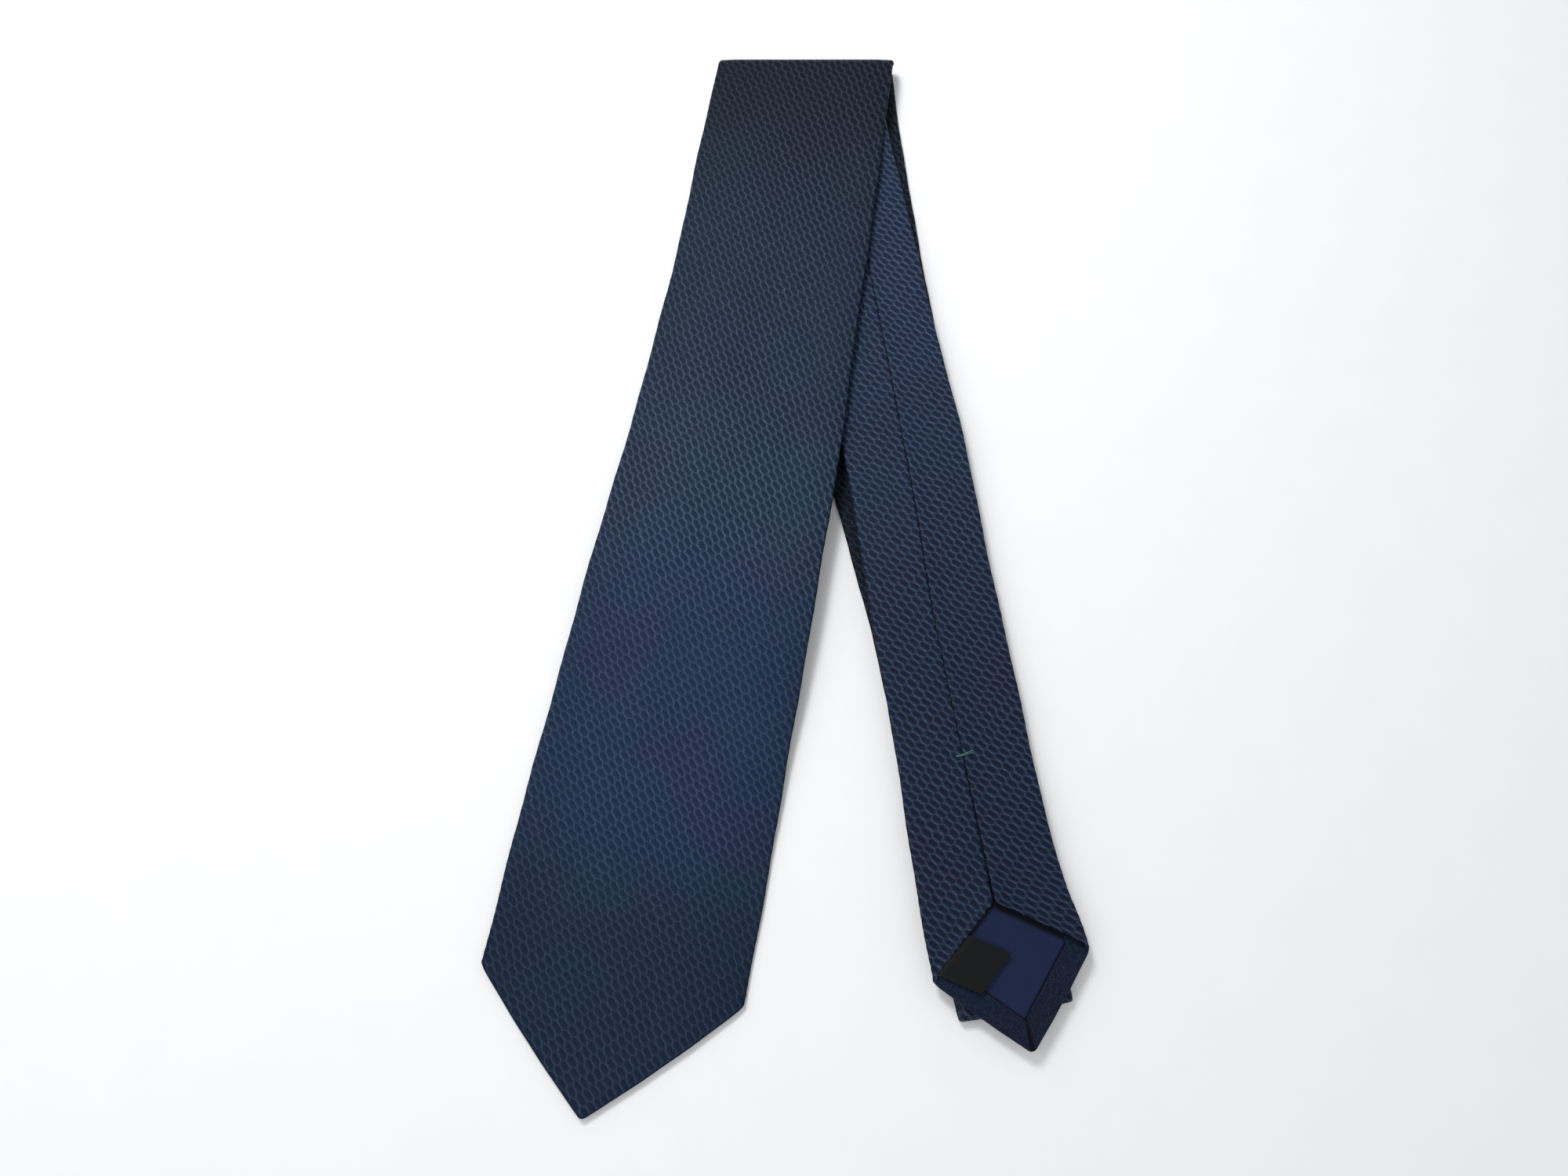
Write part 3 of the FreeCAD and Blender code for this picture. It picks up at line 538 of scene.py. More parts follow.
def envelope(path, q, half_left, half_right, seam, back, tip=None, bias=0):
    """The flattened tube of silk along part of a path; its two edges meet in a seam down its back."""
    u, away = path.u(q), path.away(q)
    shear = where(q > 0, path.slant(path.high, 1.0, away), path.slant(path.low, 1.0, away))
    wander_left, wander_right = edge_wander(q, 0.4), edge_wander(q, 2.1)
    left = right = 0 * q
    for _ in range(3):
        left = wander_left - half_left(u + left * shear)
        right = wander_right + half_right(u + right * shear)
    middle = seam(u)
    v_left, v_right = middle - SEAM_SLIT, middle + SEAM_SLIT
    inset, lift, lip = EDGE + 0 * q, SEAM_LIFT + 0 * q, LIP + 0 * q
    if tip:
        on_tip = q > 0
        wanders = u < tip.length - 3
        left = where(on_tip, wander_left * wanders - tip.half(-1, u), left)
        right = where(on_tip, wander_right * wanders + tip.half(1, u), right)
        open_left, open_right = -tip.v_edge(-1, u), tip.v_edge(1, u)
        serrated = 0.28 * sin(q * 2.3) * smooth((middle - open_left) / 3)
        parted = on_tip & (u > tip.apex)
        lip = LIP + on_tip * 0.25 * tip.lift * smooth((u - tip.apex + 70) / 60)
        v_left = where(parted, minimum(v_left, open_left + serrated), v_left)
        v_left = maximum(v_left, left + EDGE + lip)
        v_right = where(parted, maximum(v_right, open_right), v_right)
        v_right = minimum(v_right, right - EDGE - lip)
        lift = SEAM_LIFT + on_tip * tip.lift * smooth((u - tip.apex + 14) / 16)
        inset = EDGE + on_tip * (TIP_EDGE - EDGE) * smooth((u - tip.corners[1] + 4) / 5)
    xs, ns, sunk = section(left, right, v_left, v_right, back + 0 * q, lift, lip, inset)
    skip = np.zeros((len(q) - 1, xs.shape[1] - 1), bool)
    if tip:
        for side, columns in ((-1, slice(SIDE_COLUMNS)), (1, slice(-SIDE_COLUMNS, None))):
            skip[(on_tip & (u > tip.corners[side]))[1:, 0], columns] = True
    q_grid = q + bias * xs
    points = path.at(q_grid, xs, ns)
    sheet = grid(points, cloth_place(xs, ns, sunk, q_grid, path), skip)
    probe = len(q) // 2, xs.shape[1] // 2
    spot = points[probe]
    deeper = path.at(q_grid[probe], xs[probe], ns[probe] + 0.2) - spot
    index = np.abs(sheet[0] - spot).sum(axis=1).argmin()
    return thicken(sheet, SILK, (index, deeper))


# ---- the lined tips ----

HEM_HEIGHT = 1.5
HEM_SILK = 0.26
HEM_MARK = 20.0
MITRE_MARK = 5.0
MITRE_DROP = 0.35
LINING_HEIGHT = 0.78
LINING_UNDER_HEM = 0.9
SATIN = 0.14


def hem_corner(tip, side):
    """Where the inner line of the hem turns at the side corner, and where it meets the middle."""
    wide = float(tip.half(side, tip.corners[side] - 6))
    down = tip.length - tip.corners[side]
    slope = math.hypot(wide, down)
    inner_u = tip.corners[side] - tip.hem * wide / slope + tip.hem * (slope - down) * down / (wide * slope)
    return np.array([side * (wide - tip.hem), inner_u]), np.array([0.0, tip.length - tip.hem * slope / wide])


def hem_lines(tip, side):
    """Rows down the point, the hem's outer and inner line there, and the share of the way to the mitre."""
    corner = tip.corners[side]
    down = (tip.length - corner) * sin(linspace(0, pi / 2, 60)[1:])
    u = hstack([linspace(corner - 8, corner, 9), corner + down])[:, None]
    hidden = smooth((corner - u) / 3)
    outer = hstack([side * (tip.half(side, u) - 0.45 * hidden), u])
    turn_in, meet = hem_corner(tip, side)
    share = clip((u - corner) / (tip.length - corner), 0, 1)
    inner = turn_in + share * (meet - turn_in)
    inner[:, 1:] += minimum(u - corner, 0)
    return u, outer, inner, share


def hem(path, tip, side):
    """The silk turned over one edge of the point, from under the back panel to the mitre."""
    u, outer, inner, share = hem_lines(tip, side)
    way = inner - outer
    reach = np.linalg.norm(way, axis=1)[:, None]
    way /= reach
    turn = linspace(-pi / 2, pi / 2, 7)
    flat = linspace(0, 1, 13)[1:]
    roll = TIP_EDGE * (1 - cos(turn)) + 0 * reach
    distance = hstack([roll, TIP_EDGE + (reach - TIP_EDGE) * flat, reach + (0.16, 0.20, 0.02)])
    high = HEM_HEIGHT - 0.4 * smooth((tip.corners[side] + 3 - u) / 9)
    pucker = 0.13 * sin(u * 2.1 + side) + 0.08 * sin(u * 4.3 + 0.7)
    top = high + pucker * sin(flat * pi) ** 0.5
    mitre = smooth((share - 0.982) / 0.018)
    height = hstack([high / 2 * (1 + sin(turn)), top, high - (0.10, 0.26, 0.36)])
    height = maximum(height - MITRE_DROP * mitre, FLOOR_GAP)
    x, down = [outer[:, [i]] + way[:, [i]] * distance for i in (0, 1)]
    cloth_x, cloth_u = [outer[:, [i]] - way[:, [i]] * distance for i in (0, 1)]
    mark = HEM_MARK + MITRE_MARK * mitre + 0 * distance
    q_grid = path.q(down)
    sheet = grid(path.at(q_grid, x, height), np.dstack([path.sign * cloth_x, path.q(cloth_u), mark]))
    probe = len(u) // 2 * x.shape[1] + 12
    deeper = path.at(q_grid.flat[probe], x.flat[probe], height.flat[probe] - 0.2) - sheet[0][probe]
    return thicken(sheet, HEM_SILK, (probe, deeper))


def line_through(first, second, inside):
    """(a, b, c): a * x + b * u + c is the distance from a line, positive on the inside point's side."""
    along = (second - first) / np.linalg.norm(second - first)
    a, b = along[1], -along[0]
    c = -(a * first[0] + b * first[1])
    sign = math.copysign(1, a * inside[0] + b * inside[1] + c)
    return a * sign, b * sign, c * sign


def painted_shadow_lines(tip, v_left, v_right, hem_width):
    """Lines where a lining goes in under the silk, and how wide the painted shadow beside each is."""
    apex = np.array([tip.apex_x, tip.apex])
    lines = []
    for side, width in ((-1, v_left), (1, v_right)):
        down_v = apex + (side * 10 / math.tan(tip.v_slope[side]), 10)
        turn_in, meet = hem_corner(tip, side)
        lines.append((line_through(apex, down_v, meet), width))
        lines.append((line_through(turn_in, meet, apex), hem_width))
    return lines


def lining(path, tip, name, body, replaced, material):
    """The satin that lines a tip: under the panels at the top, tucked under the hem all round."""
    (left_x, left_u), foot = hem_corner(tip, -1)
    (right_x, right_u), _ = hem_corner(tip, 1)
    foot_u = foot[1] + 0.7
    u = hstack([linspace(tip.apex - 10, right_u, 22), linspace(right_u, foot_u, 26)[1:]])[:, None]
    left = (left_x - LINING_UNDER_HEM) * clip((foot_u - u) / (foot_u - left_u), 0.004, 1)
    right = (right_x + LINING_UNDER_HEM) * clip((foot_u - u) / (foot_u - right_u), 0.004, 1)
    share = linspace(0, 1, 31)
    x = left + (right - left) * share
    down = u + 0 * x
    puff = sin(share * pi) ** 0.6 * smooth((foot_u - down) / 8)
    waves = 0.05 * sin(x / 2.6 + down / 5.1) + 0.04 * sin(down / 3.3 - x / 6.1)
    n = LINING_HEIGHT + (0.16 + waves) * puff
    part = slab(path, path.q(down), x, n, n - SATIN, (x, down, n))
    piece(name, part, material, body, replaced)


# ---- the three silks ----


def stations(path, tip, seam_q, margins, spacings):
    """Rows down one end of the tie: closest round the fold, at the tip's corners and at its point."""
    before, after, above_apex, past_corner = margins
    arc = path.half_arc
    down = (tip.apex - above_apex, tip.corners[1] - 3, tip.corners[-1] + past_corner, tip.length - 3,
            tip.length - 0.45)
    places = [seam_q, -arc - before, -arc, arc, arc + after, *(path.q(u) for u in down)]
    return steps(*zip(places, spacings))


def build_end(name, path, tip, q, sides, seam, back, bias, material, replaced):
    """The silk of one end, from its joining seam over its fold to its tip and two hems."""
    lefts, rights = [past_fold(q, after, before) for after, before in sides]
    tube_part = envelope(path, q, lefts, rights, seam, back, tip, bias)
    whole = join(tube_part, hem(path, tip, -1), hem(path, tip, 1))
    made = piece(name, whole, material, replaced=replaced)
    bend_on_path(made, path, whole[2][:, 1])


def build_blade():
    """The wide end: its silk, over the top fold to the seam on the upper half, and its lining."""
    tip = BLADE_TIP
    seam_q = WIDE.q(BLADE_SEAM - SEAM_GAP, upper_side=False)
    q = stations(WIDE, tip, seam_q, (22, 25, 6, 3), (2.6, 1.6, 0.7, 1.6, 2.4, 1.1, 0.6, 1.1, 0.3, 1))
    back = THICK - 0.55 * (q > 0) * smooth((WIDE.u(q) - tip.apex - 6) / 28)
    bias = 1 - smooth((q - seam_q) / 60)
    build_end("blade_silk", WIDE, tip, q, ((BLADE_LEFT, UPPER_HALF), (BLADE_RIGHT, UPPER_HALF)), MIDDLE, back,
              bias, SILK_BLADE, ["blade_shell", "top_fold_shell", "blade_shell_upper"])
    lining(WIDE, tip, "blade_lining", "blade", ["blade_tipping"], BLADE_SATIN)


def build_tail():
    """The narrow end: its silk, round its fold to the seam on the layer below, and its lining."""
    tip = TAIL_TIP
    seam_q = NARROW.q(TAIL_SEAM_AT - SEAM_GAP, upper_side=False)
    q = stations(NARROW, tip, seam_q, (8, 12, 8, 2), (2.4, 1.2, 0.45, 1.2, 2.2, 0.9, 0.5, 0.9, 0.3, 1))
    below_apex = NARROW.u(q) - tip.apex
    back = THICK + (q > 0) * (0.5 * smooth((below_apex + 60) / 60) - 0.9 * smooth((below_apex - 3) / 19))
    bias = -1 + smooth((q - seam_q) / 45)
    build_end("tail_silk", NARROW, tip, q, ((TAIL_LEFT, UNDER_HALF), (TAIL_RIGHT, UNDER_HALF)),
              past_fold(q, TAIL_SEAM, UNDER_SEAM), back, bias, SILK_TAIL,
              ["tail_shell", "tail_fold_shell", "tail_shell_upper"])
    lining(NARROW, tip, "tail_lining", "tail", ["tail_tipping"], TAIL_SATIN)


def build_neck():
    """The neck's silk, between the two joining seams and round the neck fold, and the seams' threads."""
    start = NECK.q(BLADE_SEAM + SEAM_GAP, upper_side=False)
    end = NECK.q(TAIL_SEAM_AT + SEAM_GAP)
    arc = NECK.half_arc
    q = steps((start, 2.4), (-arc - 8, 1.2), (-arc, 0.45), (arc, 1.2), (arc + 8, 2.4), (end, 1))
    bias = -(1 - smooth((q - start) / 45)) - (1 - smooth((end - q) / 60))
    half = past_fold(q, UNDER_HALF, UPPER_HALF)
    whole = envelope(NECK, q, half, half, MIDDLE, THICK, bias=bias)
    piece("neck_silk", whole, SILK_NECK, "folded_half", ["neck_shell"])
    threads = []
    x = linspace(-17.2, 17.2, 60)
    for distance, way, upper_side in ((BLADE_SEAM, -1, False), (TAIL_SEAM_AT, 1, True)):
        line = NECK.at(NECK.q(distance + way * x, upper_side), x, 0.22 + 0.06 * sin(x * 5))
        threads.append(tube(line, 0.09))
    piece("joining_seams", join(*threads), THREAD, "folded_half")


# ---- interlining and slip stitch ----


WOOL_INSET = 2.2
WOOL_TOP = 0.35
WOOL_BOTTOM = 0.66


def interlining(name, path, tip, end_u, before, fold_spacing, replaced):
    """The brushed wool inside one end: from the neck fold, round the path's fold and to the tip."""
    arc = path.half_arc
    q = steps((path.q(end_u, upper_side=False), 3), (-arc - 6, 1.5), (-arc, fold_spacing), (arc, 1.5),
              (arc + 8, 3), (path.q(tip.length - 4), 1))
    u = path.u(q)
    left, right = [where(q > 0, tip.half(side, u), before(u)) - WOOL_INSET for side in (-1, 1)]
    left, right = maximum(left, 0.3), maximum(right, 0.3)
    x = -left + (right + left) * linspace(0, 1, 19)
    q_grid = q + 0 * x
    part = slab(path, q_grid, x, WOOL_BOTTOM, WOOL_TOP, (x, q_grid, 0 * x))
    made = piece(name, part, WOOL, replaced=replaced)
    bend_on_path(made, path, part[2][:, 1])


def slip_stitch(name, path, end_u, tack_u, after, before, replaced):
    """The long loose thread that closes the back seam: a zigzag just under the two panels."""
    q = np.arange(path.q(end_u - 2, upper_side=False), path.q(tack_u), 1.5)
    x = past_fold(q, after, before)(path.u(q)) + 0.7 * sin(q * pi / 4.5)
    made = piece(name, tube(path.at(q, x, THICK - 0.62), 0.08), THREAD, replaced=replaced)
    bend_on_path(made, path, np.repeat(q, 6))


def bar_tack(name, path, at_u, seam_x, body):
    """Two passes of grey-green twist across the back seam, and the ends that go into the silk."""
    threads = []
    share = linspace(0, 1, 26)
    dive = 0.5 * (1 - smooth(minimum(share, 1 - share) / 0.08))
    n = THICK + 0.42 - dive + 0.14 * sin(share * pi)
    for slope, down, aside in ((0.13, 0.0, 0.0), (0.07, 0.34, 0.15)):
        x = seam_x - 2.2 + 6.4 * share + aside
        u = at_u + down - slope * (x - seam_x) + 0.12 * sin(share * 5)
        threads.append(tube(path.at(path.q(u), x, n), 0.13, 8))
    piece(name, join(*threads), TWIST, body)


# ---- the pieces sewn to the back of the blade, and the care label ----


def local_box(layer, node):
    """Lowest and highest x and u of a CAD node in a layer's own frame."""
    x, u = layer.local(cad_points(node))
    return x.min(), x.max(), u.min(), u.max()


def strap(x, u_middle, width, low, high, sides=28):
    """A flat strap with round edges that runs across the blade."""
    turn = linspace(0, 2 * pi, sides, endpoint=False)
    flat = np.sign(cos(turn)) * np.abs(cos(turn)) ** 0.35
    deep = np.sign(sin(turn)) * np.abs(sin(turn)) ** 0.8
    xs = x + 0 * turn
    u = u_middle + width / 2 * flat + 0 * xs
    n = (low + high) / 2 + (high - low) / 2 * deep
    points = WIDE.at(WIDE.q(u), xs, n)
    return points.reshape(-1, 3), wrap(len(x), sides), np.dstack([u, xs, n]).reshape(-1, 3)


def on_blade(x, u, n, radius):
    """A thread on the back of the blade."""
    return tube(WIDE.at(WIDE.q(u), x, n), radius)


def build_keeper_loop():
    """The loop across the back of the blade, and the four rows of stitches that hold its ends."""
    left, right, top, bottom = local_box(blade, "keeper_loop")
    low_z, high_z = cad_heights("keeper_loop")
    end, thick = 5.0, 0.75
    x = linspace(left, right, 90)[:, None]
    raised = (high_z - low_z - thick) * smooth((right - end + 1 - np.abs(x)) / 4)
    taper = 1 - 0.5 * (1 - smooth((right - np.abs(x)) / 0.6))
    low = THICK + 0.08 + raised
    part = strap(x, (top + bottom) / 2, bottom - top, low, low + thick * taper)
    piece("keeper_loop", part, SILK_NECK, "blade")
    u = linspace(top + 1.0, bottom - 1.0, 40)
    n = THICK + thick + 0.14 + 0.07 * cos(u * 5.2)
    threads = [on_blade(place + 0.22 * sin(u * 5.2), u, n, 0.09)
               for place in (left + 1.2, left + 2.9, right - 2.9, right - 1.2)]
    piece("keeper_loop_tacks", join(*threads), THREAD, "blade")


def build_maker_label():
    """The blank label on the back of the blade, and two stitches at each of its corners."""
    left, right, top, bottom = local_box(blade, "maker_label")
    x, u = np.meshgrid(linspace(left, right, 61), linspace(top, bottom, 25))
    from_side = minimum(x - left, right - x)
    rim = minimum(from_side, minimum(u - top, bottom - u))
    n = THICK + 0.3 + 0.12 * smooth(rim / 4) + 0.07 * smooth(1 - np.abs(from_side - 1.2) / 0.5)
    piece("maker_label", slab(WIDE, WIDE.q(u), x, n, n - 0.24, (x, u, n)), MAKER, "blade")
    share = linspace(0, 1, 12)
    ends_in = 0.3 * (1 - smooth(minimum(share, 1 - share) / 0.1))
    n = THICK + 0.42 + 0.1 * sin(share * pi) - ends_in
    threads = [on_blade(corner_x - 1 + 2 * share, corner_u + shift + 0.15 * share, n, 0.08)
               for corner_x in (left + 1.6, right - 1.6)
               for corner_u in (top + 1.0, bottom - 1.0)
               for shift in (-0.25, 0.25)]
    piece("maker_label_stitches", join(*threads), THREAD, "blade")


def build_care_label():
    """The blank satin label that stands out from under the tail's left panel."""
    joint = JOINTS["care_label_lift"]
    pivot = in_mm(joint["pos_m"])
    edge = np.array(joint["axis"], float)
    edge /= -np.linalg.norm(edge)
    lean = cad_points("care_label") - pivot
    lean[:, 2] = 0
    far = lean[(lean @ np.cross(edge, (0, 0, 1))) > 5]
    out = far.mean(axis=0)
    length = np.linalg.norm(out)
    out /= length
    length -= 0.9
    half = (far @ edge).max() - (far @ edge).mean()
    reach = hstack([linspace(-3.5, 0, 5), linspace(0, length, 24)[1:]])
    e, r = np.meshgrid(linspace(-1, 1, 27), reach)
    raised = 0.5 * smooth((r + 1.5) / 3) + 0.55 * smooth(r / length) ** 1.5
    curl = 0.45 * smooth(r / length) * smooth((-e - 0.1) / 0.9) + 0.10 * sin(r / 2.4 + e)
    selvedge = 0.05 * smooth((np.abs(e) - 0.9) / 0.05)
    z = pivot[2] - 0.45 + raised + (curl + selvedge) * smooth(r / 3)
    r = where(r < 0, r * (0.25 + 0.375 * (e + 1)), r)
    plan = pivot[:2] + e[..., None] * half * edge[:2] + r[..., None] * out[:2]
    top = np.dstack([plan, z])
    sheet = grid(top, np.dstack([e * half, r, 0 * e]))
    made = piece("care_label", close(sheet, top.reshape(-1, 3) - (0, 0, 0.16)), LABEL)
    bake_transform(made)


# ---- materials ----


class Shader:
    """A material built from nodes."""

    def __init__(self, name):
        self.material = bpy.data.materials.new(name)
        self.material.use_nodes = True
        self.tree = self.material.node_tree
        self.tree.nodes.clear()
        self.surface = self.node("BsdfPrincipled")
        self.node("OutputMaterial", Surface=self.surface.outputs["BSDF"])
        place = self.node("Attribute")
        place.attribute_name = "weave"
        self.place = place.outputs["Vector"]
        split = self.node("SeparateXYZ", Vector=self.place)
        self.p, self.q, self.depth = split.outputs

    def put(self, socket, value):
        """A link, or a plain value."""
        if isinstance(value, bpy.types.NodeSocket):
            self.tree.links.new(value, socket)
        else:
            socket.default_value = (*value, 1.0) if socket.type == "RGBA" else value

    def node(self, kind, operation=None, **values):
        """A new node with inputs set by name."""
        made = self.tree.nodes.new("ShaderNode" + kind)
        if operation:
            made.operation = operation
        for name, value in values.items():
            self.put(made.inputs[name], value)
        return made

    def math(self, operation, *values):
        made = self.node("Math", operation)
        for socket, value in zip(made.inputs, values):
            self.put(socket, value)
        return made.outputs[0]

    def times(self, first, *others):
        """The product of values."""
        for value in others:
            first = self.math("MULTIPLY", first, value)
        return first

    def total(self, *terms, plus=0.0):
        """The sum of (value, factor) terms and a number."""
        for value, factor in terms:
            plus = self.math("MULTIPLY_ADD", value, factor, plus)
        return plus

    def between(self, share, first, second):
        """A value between two values."""
        return self.total((first, 1.0), (self.times(share, self.math("SUBTRACT", second, first)), 1.0))

    def wave(self, value, length):
        """A sine wave of this length."""
        return self.math("SINE", self.times(value, 2 * pi / length))

    def ramp(self, value, low, high, start=0.0, end=1.0):
        """An S-curve from start to end as value goes from low to high."""
        made = self.node("MapRange")
        made.interpolation_type = "SMOOTHSTEP"
        for socket, item in zip(made.inputs, (value, low, high, start, end)):
            self.put(socket, item)
        return made.outputs[0]

    def blend(self, share, first, second):
        """A colour between two colours."""
        made = self.node("Mix")
        made.data_type = "RGBA"
        for index, value in ((0, share), (6, first), (7, second)):
            self.put(made.inputs[index], value)
        return made.outputs[2]

    def bright(self, color, factor):
        """A colour made brighter or darker."""
        return self.node("VectorMath", "SCALE", Vector=color, Scale=factor).outputs[0]

    def vector(self, x, y, z=0.0):
        return self.node("CombineXYZ", X=x, Y=y, Z=z).outputs[0]

    def noise(self, vector, scale, detail=2.0, rough=0.5):
        made = self.node("TexNoise", Vector=vector, Scale=scale, Detail=detail, Roughness=rough)
        return made.outputs["Fac"]

    def streaks(self, a, scale_a, b, scale_b, detail, rough, z=0.0):
        """Noise with a scale of its own in each direction."""
        return self.noise(self.vector(self.times(a, scale_a), self.times(b, scale_b), z), 1.0, detail, rough)

    def bump(self, height, distance_mm):
        made = self.node("Bump", Height=height, Distance=distance_mm * MM, Strength=1.0)
        self.put(self.surface.inputs["Normal"], made.outputs["Normal"])

    def finish(self, color, rough, sheen=0.0, specular=0.5, tint=(1.0, 1.0, 1.0)):
        values = {"Base Color": color, "Roughness": rough, "Sheen Weight": sheen, "Sheen Roughness": 0.45,
                  "Sheen Tint": tint, "Specular IOR Level": specular}
        for name, value in values.items():
            self.put(self.surface.inputs[name], value)
        return self.material


CELL_SHORT = 2.42
CELL_LONG = 7.4
HEX = math.sqrt(3)
HALF_TURN = math.sqrt(0.5)
RIB = 0.62


def honeycomb(s, short_way, long_way):
    """Cells stretched along the bias: distances to a long and a slanted side, and the place in the cell."""
    column = s.math("DIVIDE", short_way, CELL_SHORT)
    row = s.math("DIVIDE", long_way, CELL_LONG)
    spots = []
    for shift in (0.0, 0.5):
        across = s.math("SUBTRACT", s.math("FRACT", s.math("ADD", column, shift)), 0.5)
        along = s.times(s.math("SUBTRACT", s.math("FRACT", s.math("ADD", row, shift)), 0.5), HEX)
        far = s.total((s.times(across, across), 1.0), (s.times(along, along), 1.0))
        spots.append((across, along, far))
    nearer = s.math("LESS_THAN", spots[0][2], spots[1][2])
    across, along = [s.between(nearer, spots[1][i], spots[0][i]) for i in (0, 1)]
    wide, tall = s.math("ABSOLUTE", across), s.math("ABSOLUTE", along)
    to_side = s.math("SUBTRACT", 0.5, wide)
    to_slant = s.math("SUBTRACT", 0.5, s.total((wide, 0.5), (tall, HEX / 2)))
    return to_side, to_slant, across, along


def outlines(s, to_side, to_slant, across, along, link):
    """The raised lines round the cells: a thin bright core, a soft slope, and one slant of two dim."""
    steep = s.ramp(s.times(across, along), -0.03, 0.03, 0.42, link)
    parts = []
    for side_reach, side_full, slant_reach, slant_full in ((0.12, 0.02, 0.09, 0.015), (0.31, 0.0, 0.22, 0.0)):
        slanted = s.times(steep, s.ramp(to_slant, slant_reach, slant_full))
        parts.append(s.math("MAXIMUM", s.ramp(to_side, side_reach, side_full), slanted))
    return s.total((parts[0], 0.22), (parts[1], 0.78))


def crevice_shade(s, turned):
    """Painted shade: the silk is painted darker in the seam's crevice, in the mitre and round the tie's edges."""
    in_seam = s.times(s.ramp(s.depth, 0.04, 0.42), s.math("SUBTRACT", 1.0, turned))
    in_mitre = s.ramp(s.depth, HEM_MARK + 1, HEM_MARK + MITRE_MARK, 0.0, 0.8)
    on_edge = s.ramp(s.depth, -0.35, -1.0, 0.0, 0.6)
    dark = s.math("MAXIMUM", s.math("MAXIMUM", in_seam, in_mitre), on_edge)
    return s.ramp(dark, 0.0, 1.0, 1.0, 0.12)


def silk(name, cell, line, contrast, painted_lighting=lambda s: 1.0, tint=(0.0064, 0.0118, 0.0340), link=0.95):
    """Jacquard silk: fine raised outlines round sunken cells, with the small unevenness of real threads."""
    s = Shader(name)
    p = s.total((s.p, 1.0), (s.noise(s.place, 0.075, 1.0), 2.0))
    q = s.total((s.q, 1.0), (s.noise(s.place, 0.11, 1.0), 2.0))
    jitter = s.noise(s.place, 0.9, 1.0)
    long_way = s.total((p, HALF_TURN), (q, HALF_TURN), (jitter, 0.3))
    short_way = s.total((p, HALF_TURN), (q, -HALF_TURN), (jitter, 0.16))
    to_side, to_slant, across, along = honeycomb(s, short_way, long_way)
    outline = outlines(s, to_side, to_slant, across, along, link)
    threads = s.streaks(short_way, 2.6, long_way, 0.8, 3.0, 0.65)
    patches = s.ramp(s.noise(s.place, 0.028, 2.0), 0.4, 0.66)
    teal = s.ramp(s.noise(s.vector(s.q, s.p, 40.0), 0.019, 2.0), 0.45, 0.7, 0.0, 0.55)
    base = s.blend(patches, cell, tint)
    base = s.blend(teal, base, (cell[0] * 0.95, cell[1] * 1.5, cell[2] * 1.15))
    # Painted shadow: each cell is painted darker on the side its raised outline shades, and towards one end.
    base = s.bright(base, s.times(s.ramp(along, -0.6, 0.6, 0.88, 1.12), s.ramp(across, -0.5, 0.5, 1.2, 0.72)))
    turned = s.ramp(s.depth, 8.0, 12.0)
    from_fold = s.math("ABSOLUTE", s.math("SUBTRACT", s.noise(s.place, 1.15, 2.0, 0.6), 0.5))
    crinkle = s.times(s.ramp(from_fold, 0.06, 0.0), 0.55)
    outline = s.total((outline, 1.0), (s.times(turned, s.total((outline, -0.95), plus=crinkle)), 1.0))
    strength = s.times(s.ramp(threads, 0.3, 0.72, 0.45, 1.15), contrast(s))
    color = s.blend(s.times(outline, strength), base, line)
    color = s.bright(color, s.total((threads, 0.55), plus=0.72))
    # Painted shade in the seam, the mitre and round the edges, times the painted lighting down the layer.
    color = s.bright(color, s.times(crevice_shade(s, turned), painted_lighting(s)))
    s.bump(s.total((outline, 0.8), (threads, 0.35), (s.wave(long_way, RIB), 0.05)), 0.3)
    return s.finish(color, s.ramp(threads, 0.25, 0.75, 0.62, 0.46), 0.02, 0.10, (0.55, 0.68, 1.0))


def satin(name, color, grain, rough, sheen, width=0.28, ribs=0.2, painted_shadows=()):
    """Plain satin: a fine close grain along the threads, with a painted shadow beside each line where it goes in
    under the silk.
    """
    s = Shader(name)
    fine = s.streaks(s.p, 1 / width, s.q, 0.4 / width, 3.0, 0.6)
    cloudy = s.noise(s.place, 0.16, 2.0)
    shade = s.total((fine, grain), (cloudy, 0.25), plus=0.88 - grain / 2)
    # Painted shadow: the satin is painted darker near each line where it goes in under a raised edge.
    for (a, b, c), reach in painted_shadows:
        distance = s.total((s.p, a), (s.q, b), plus=c)
        shade = s.times(shade, s.ramp(distance, 0.35 * reach, reach, 0.12, 1.0))
    s.bump(s.total((fine, 0.6), (s.wave(s.q, 0.45), ribs)), 0.05)
    rough = s.ramp(fine, 0.3, 0.7, rough + 0.08, rough - 0.06)
    return s.finish(s.bright(s.vector(*color), shade), rough, sheen, 0.15)


def wool(name):
    """Brushed ecru wool: loose fibres both ways."""
    s = Shader(name)
    warp = s.streaks(s.p, 2.2, s.q, 0.35, 4.0, 0.7)
    weft = s.streaks(s.p, 0.35, s.q, 2.2, 4.0, 0.7, z=9.0)
    fibres = s.math("MAXIMUM", warp, weft)
    s.bump(fibres, 0.2)
    return s.finish(s.blend(s.ramp(fibres, 0.4, 0.7), (0.52, 0.47, 0.38), (0.82, 0.78, 0.68)), 0.92, 0.4, 0.2)


def twisted(name, color):
    """Twisted sewing thread: its plies wind round it."""
    s = Shader(name)
    wind = s.wave(s.total((s.p, 1.0), (s.q, 2.2)), 1.0)
    fuzz = s.noise(s.place, 6.0, 2.0)
    s.bump(s.total((wind, 0.5), (fuzz, 0.3)), 0.05)
    return s.finish(s.bright(s.vector(*color), s.total((wind, 0.18), (fuzz, 0.3), plus=0.8)), 0.5, 0.2, 0.4)


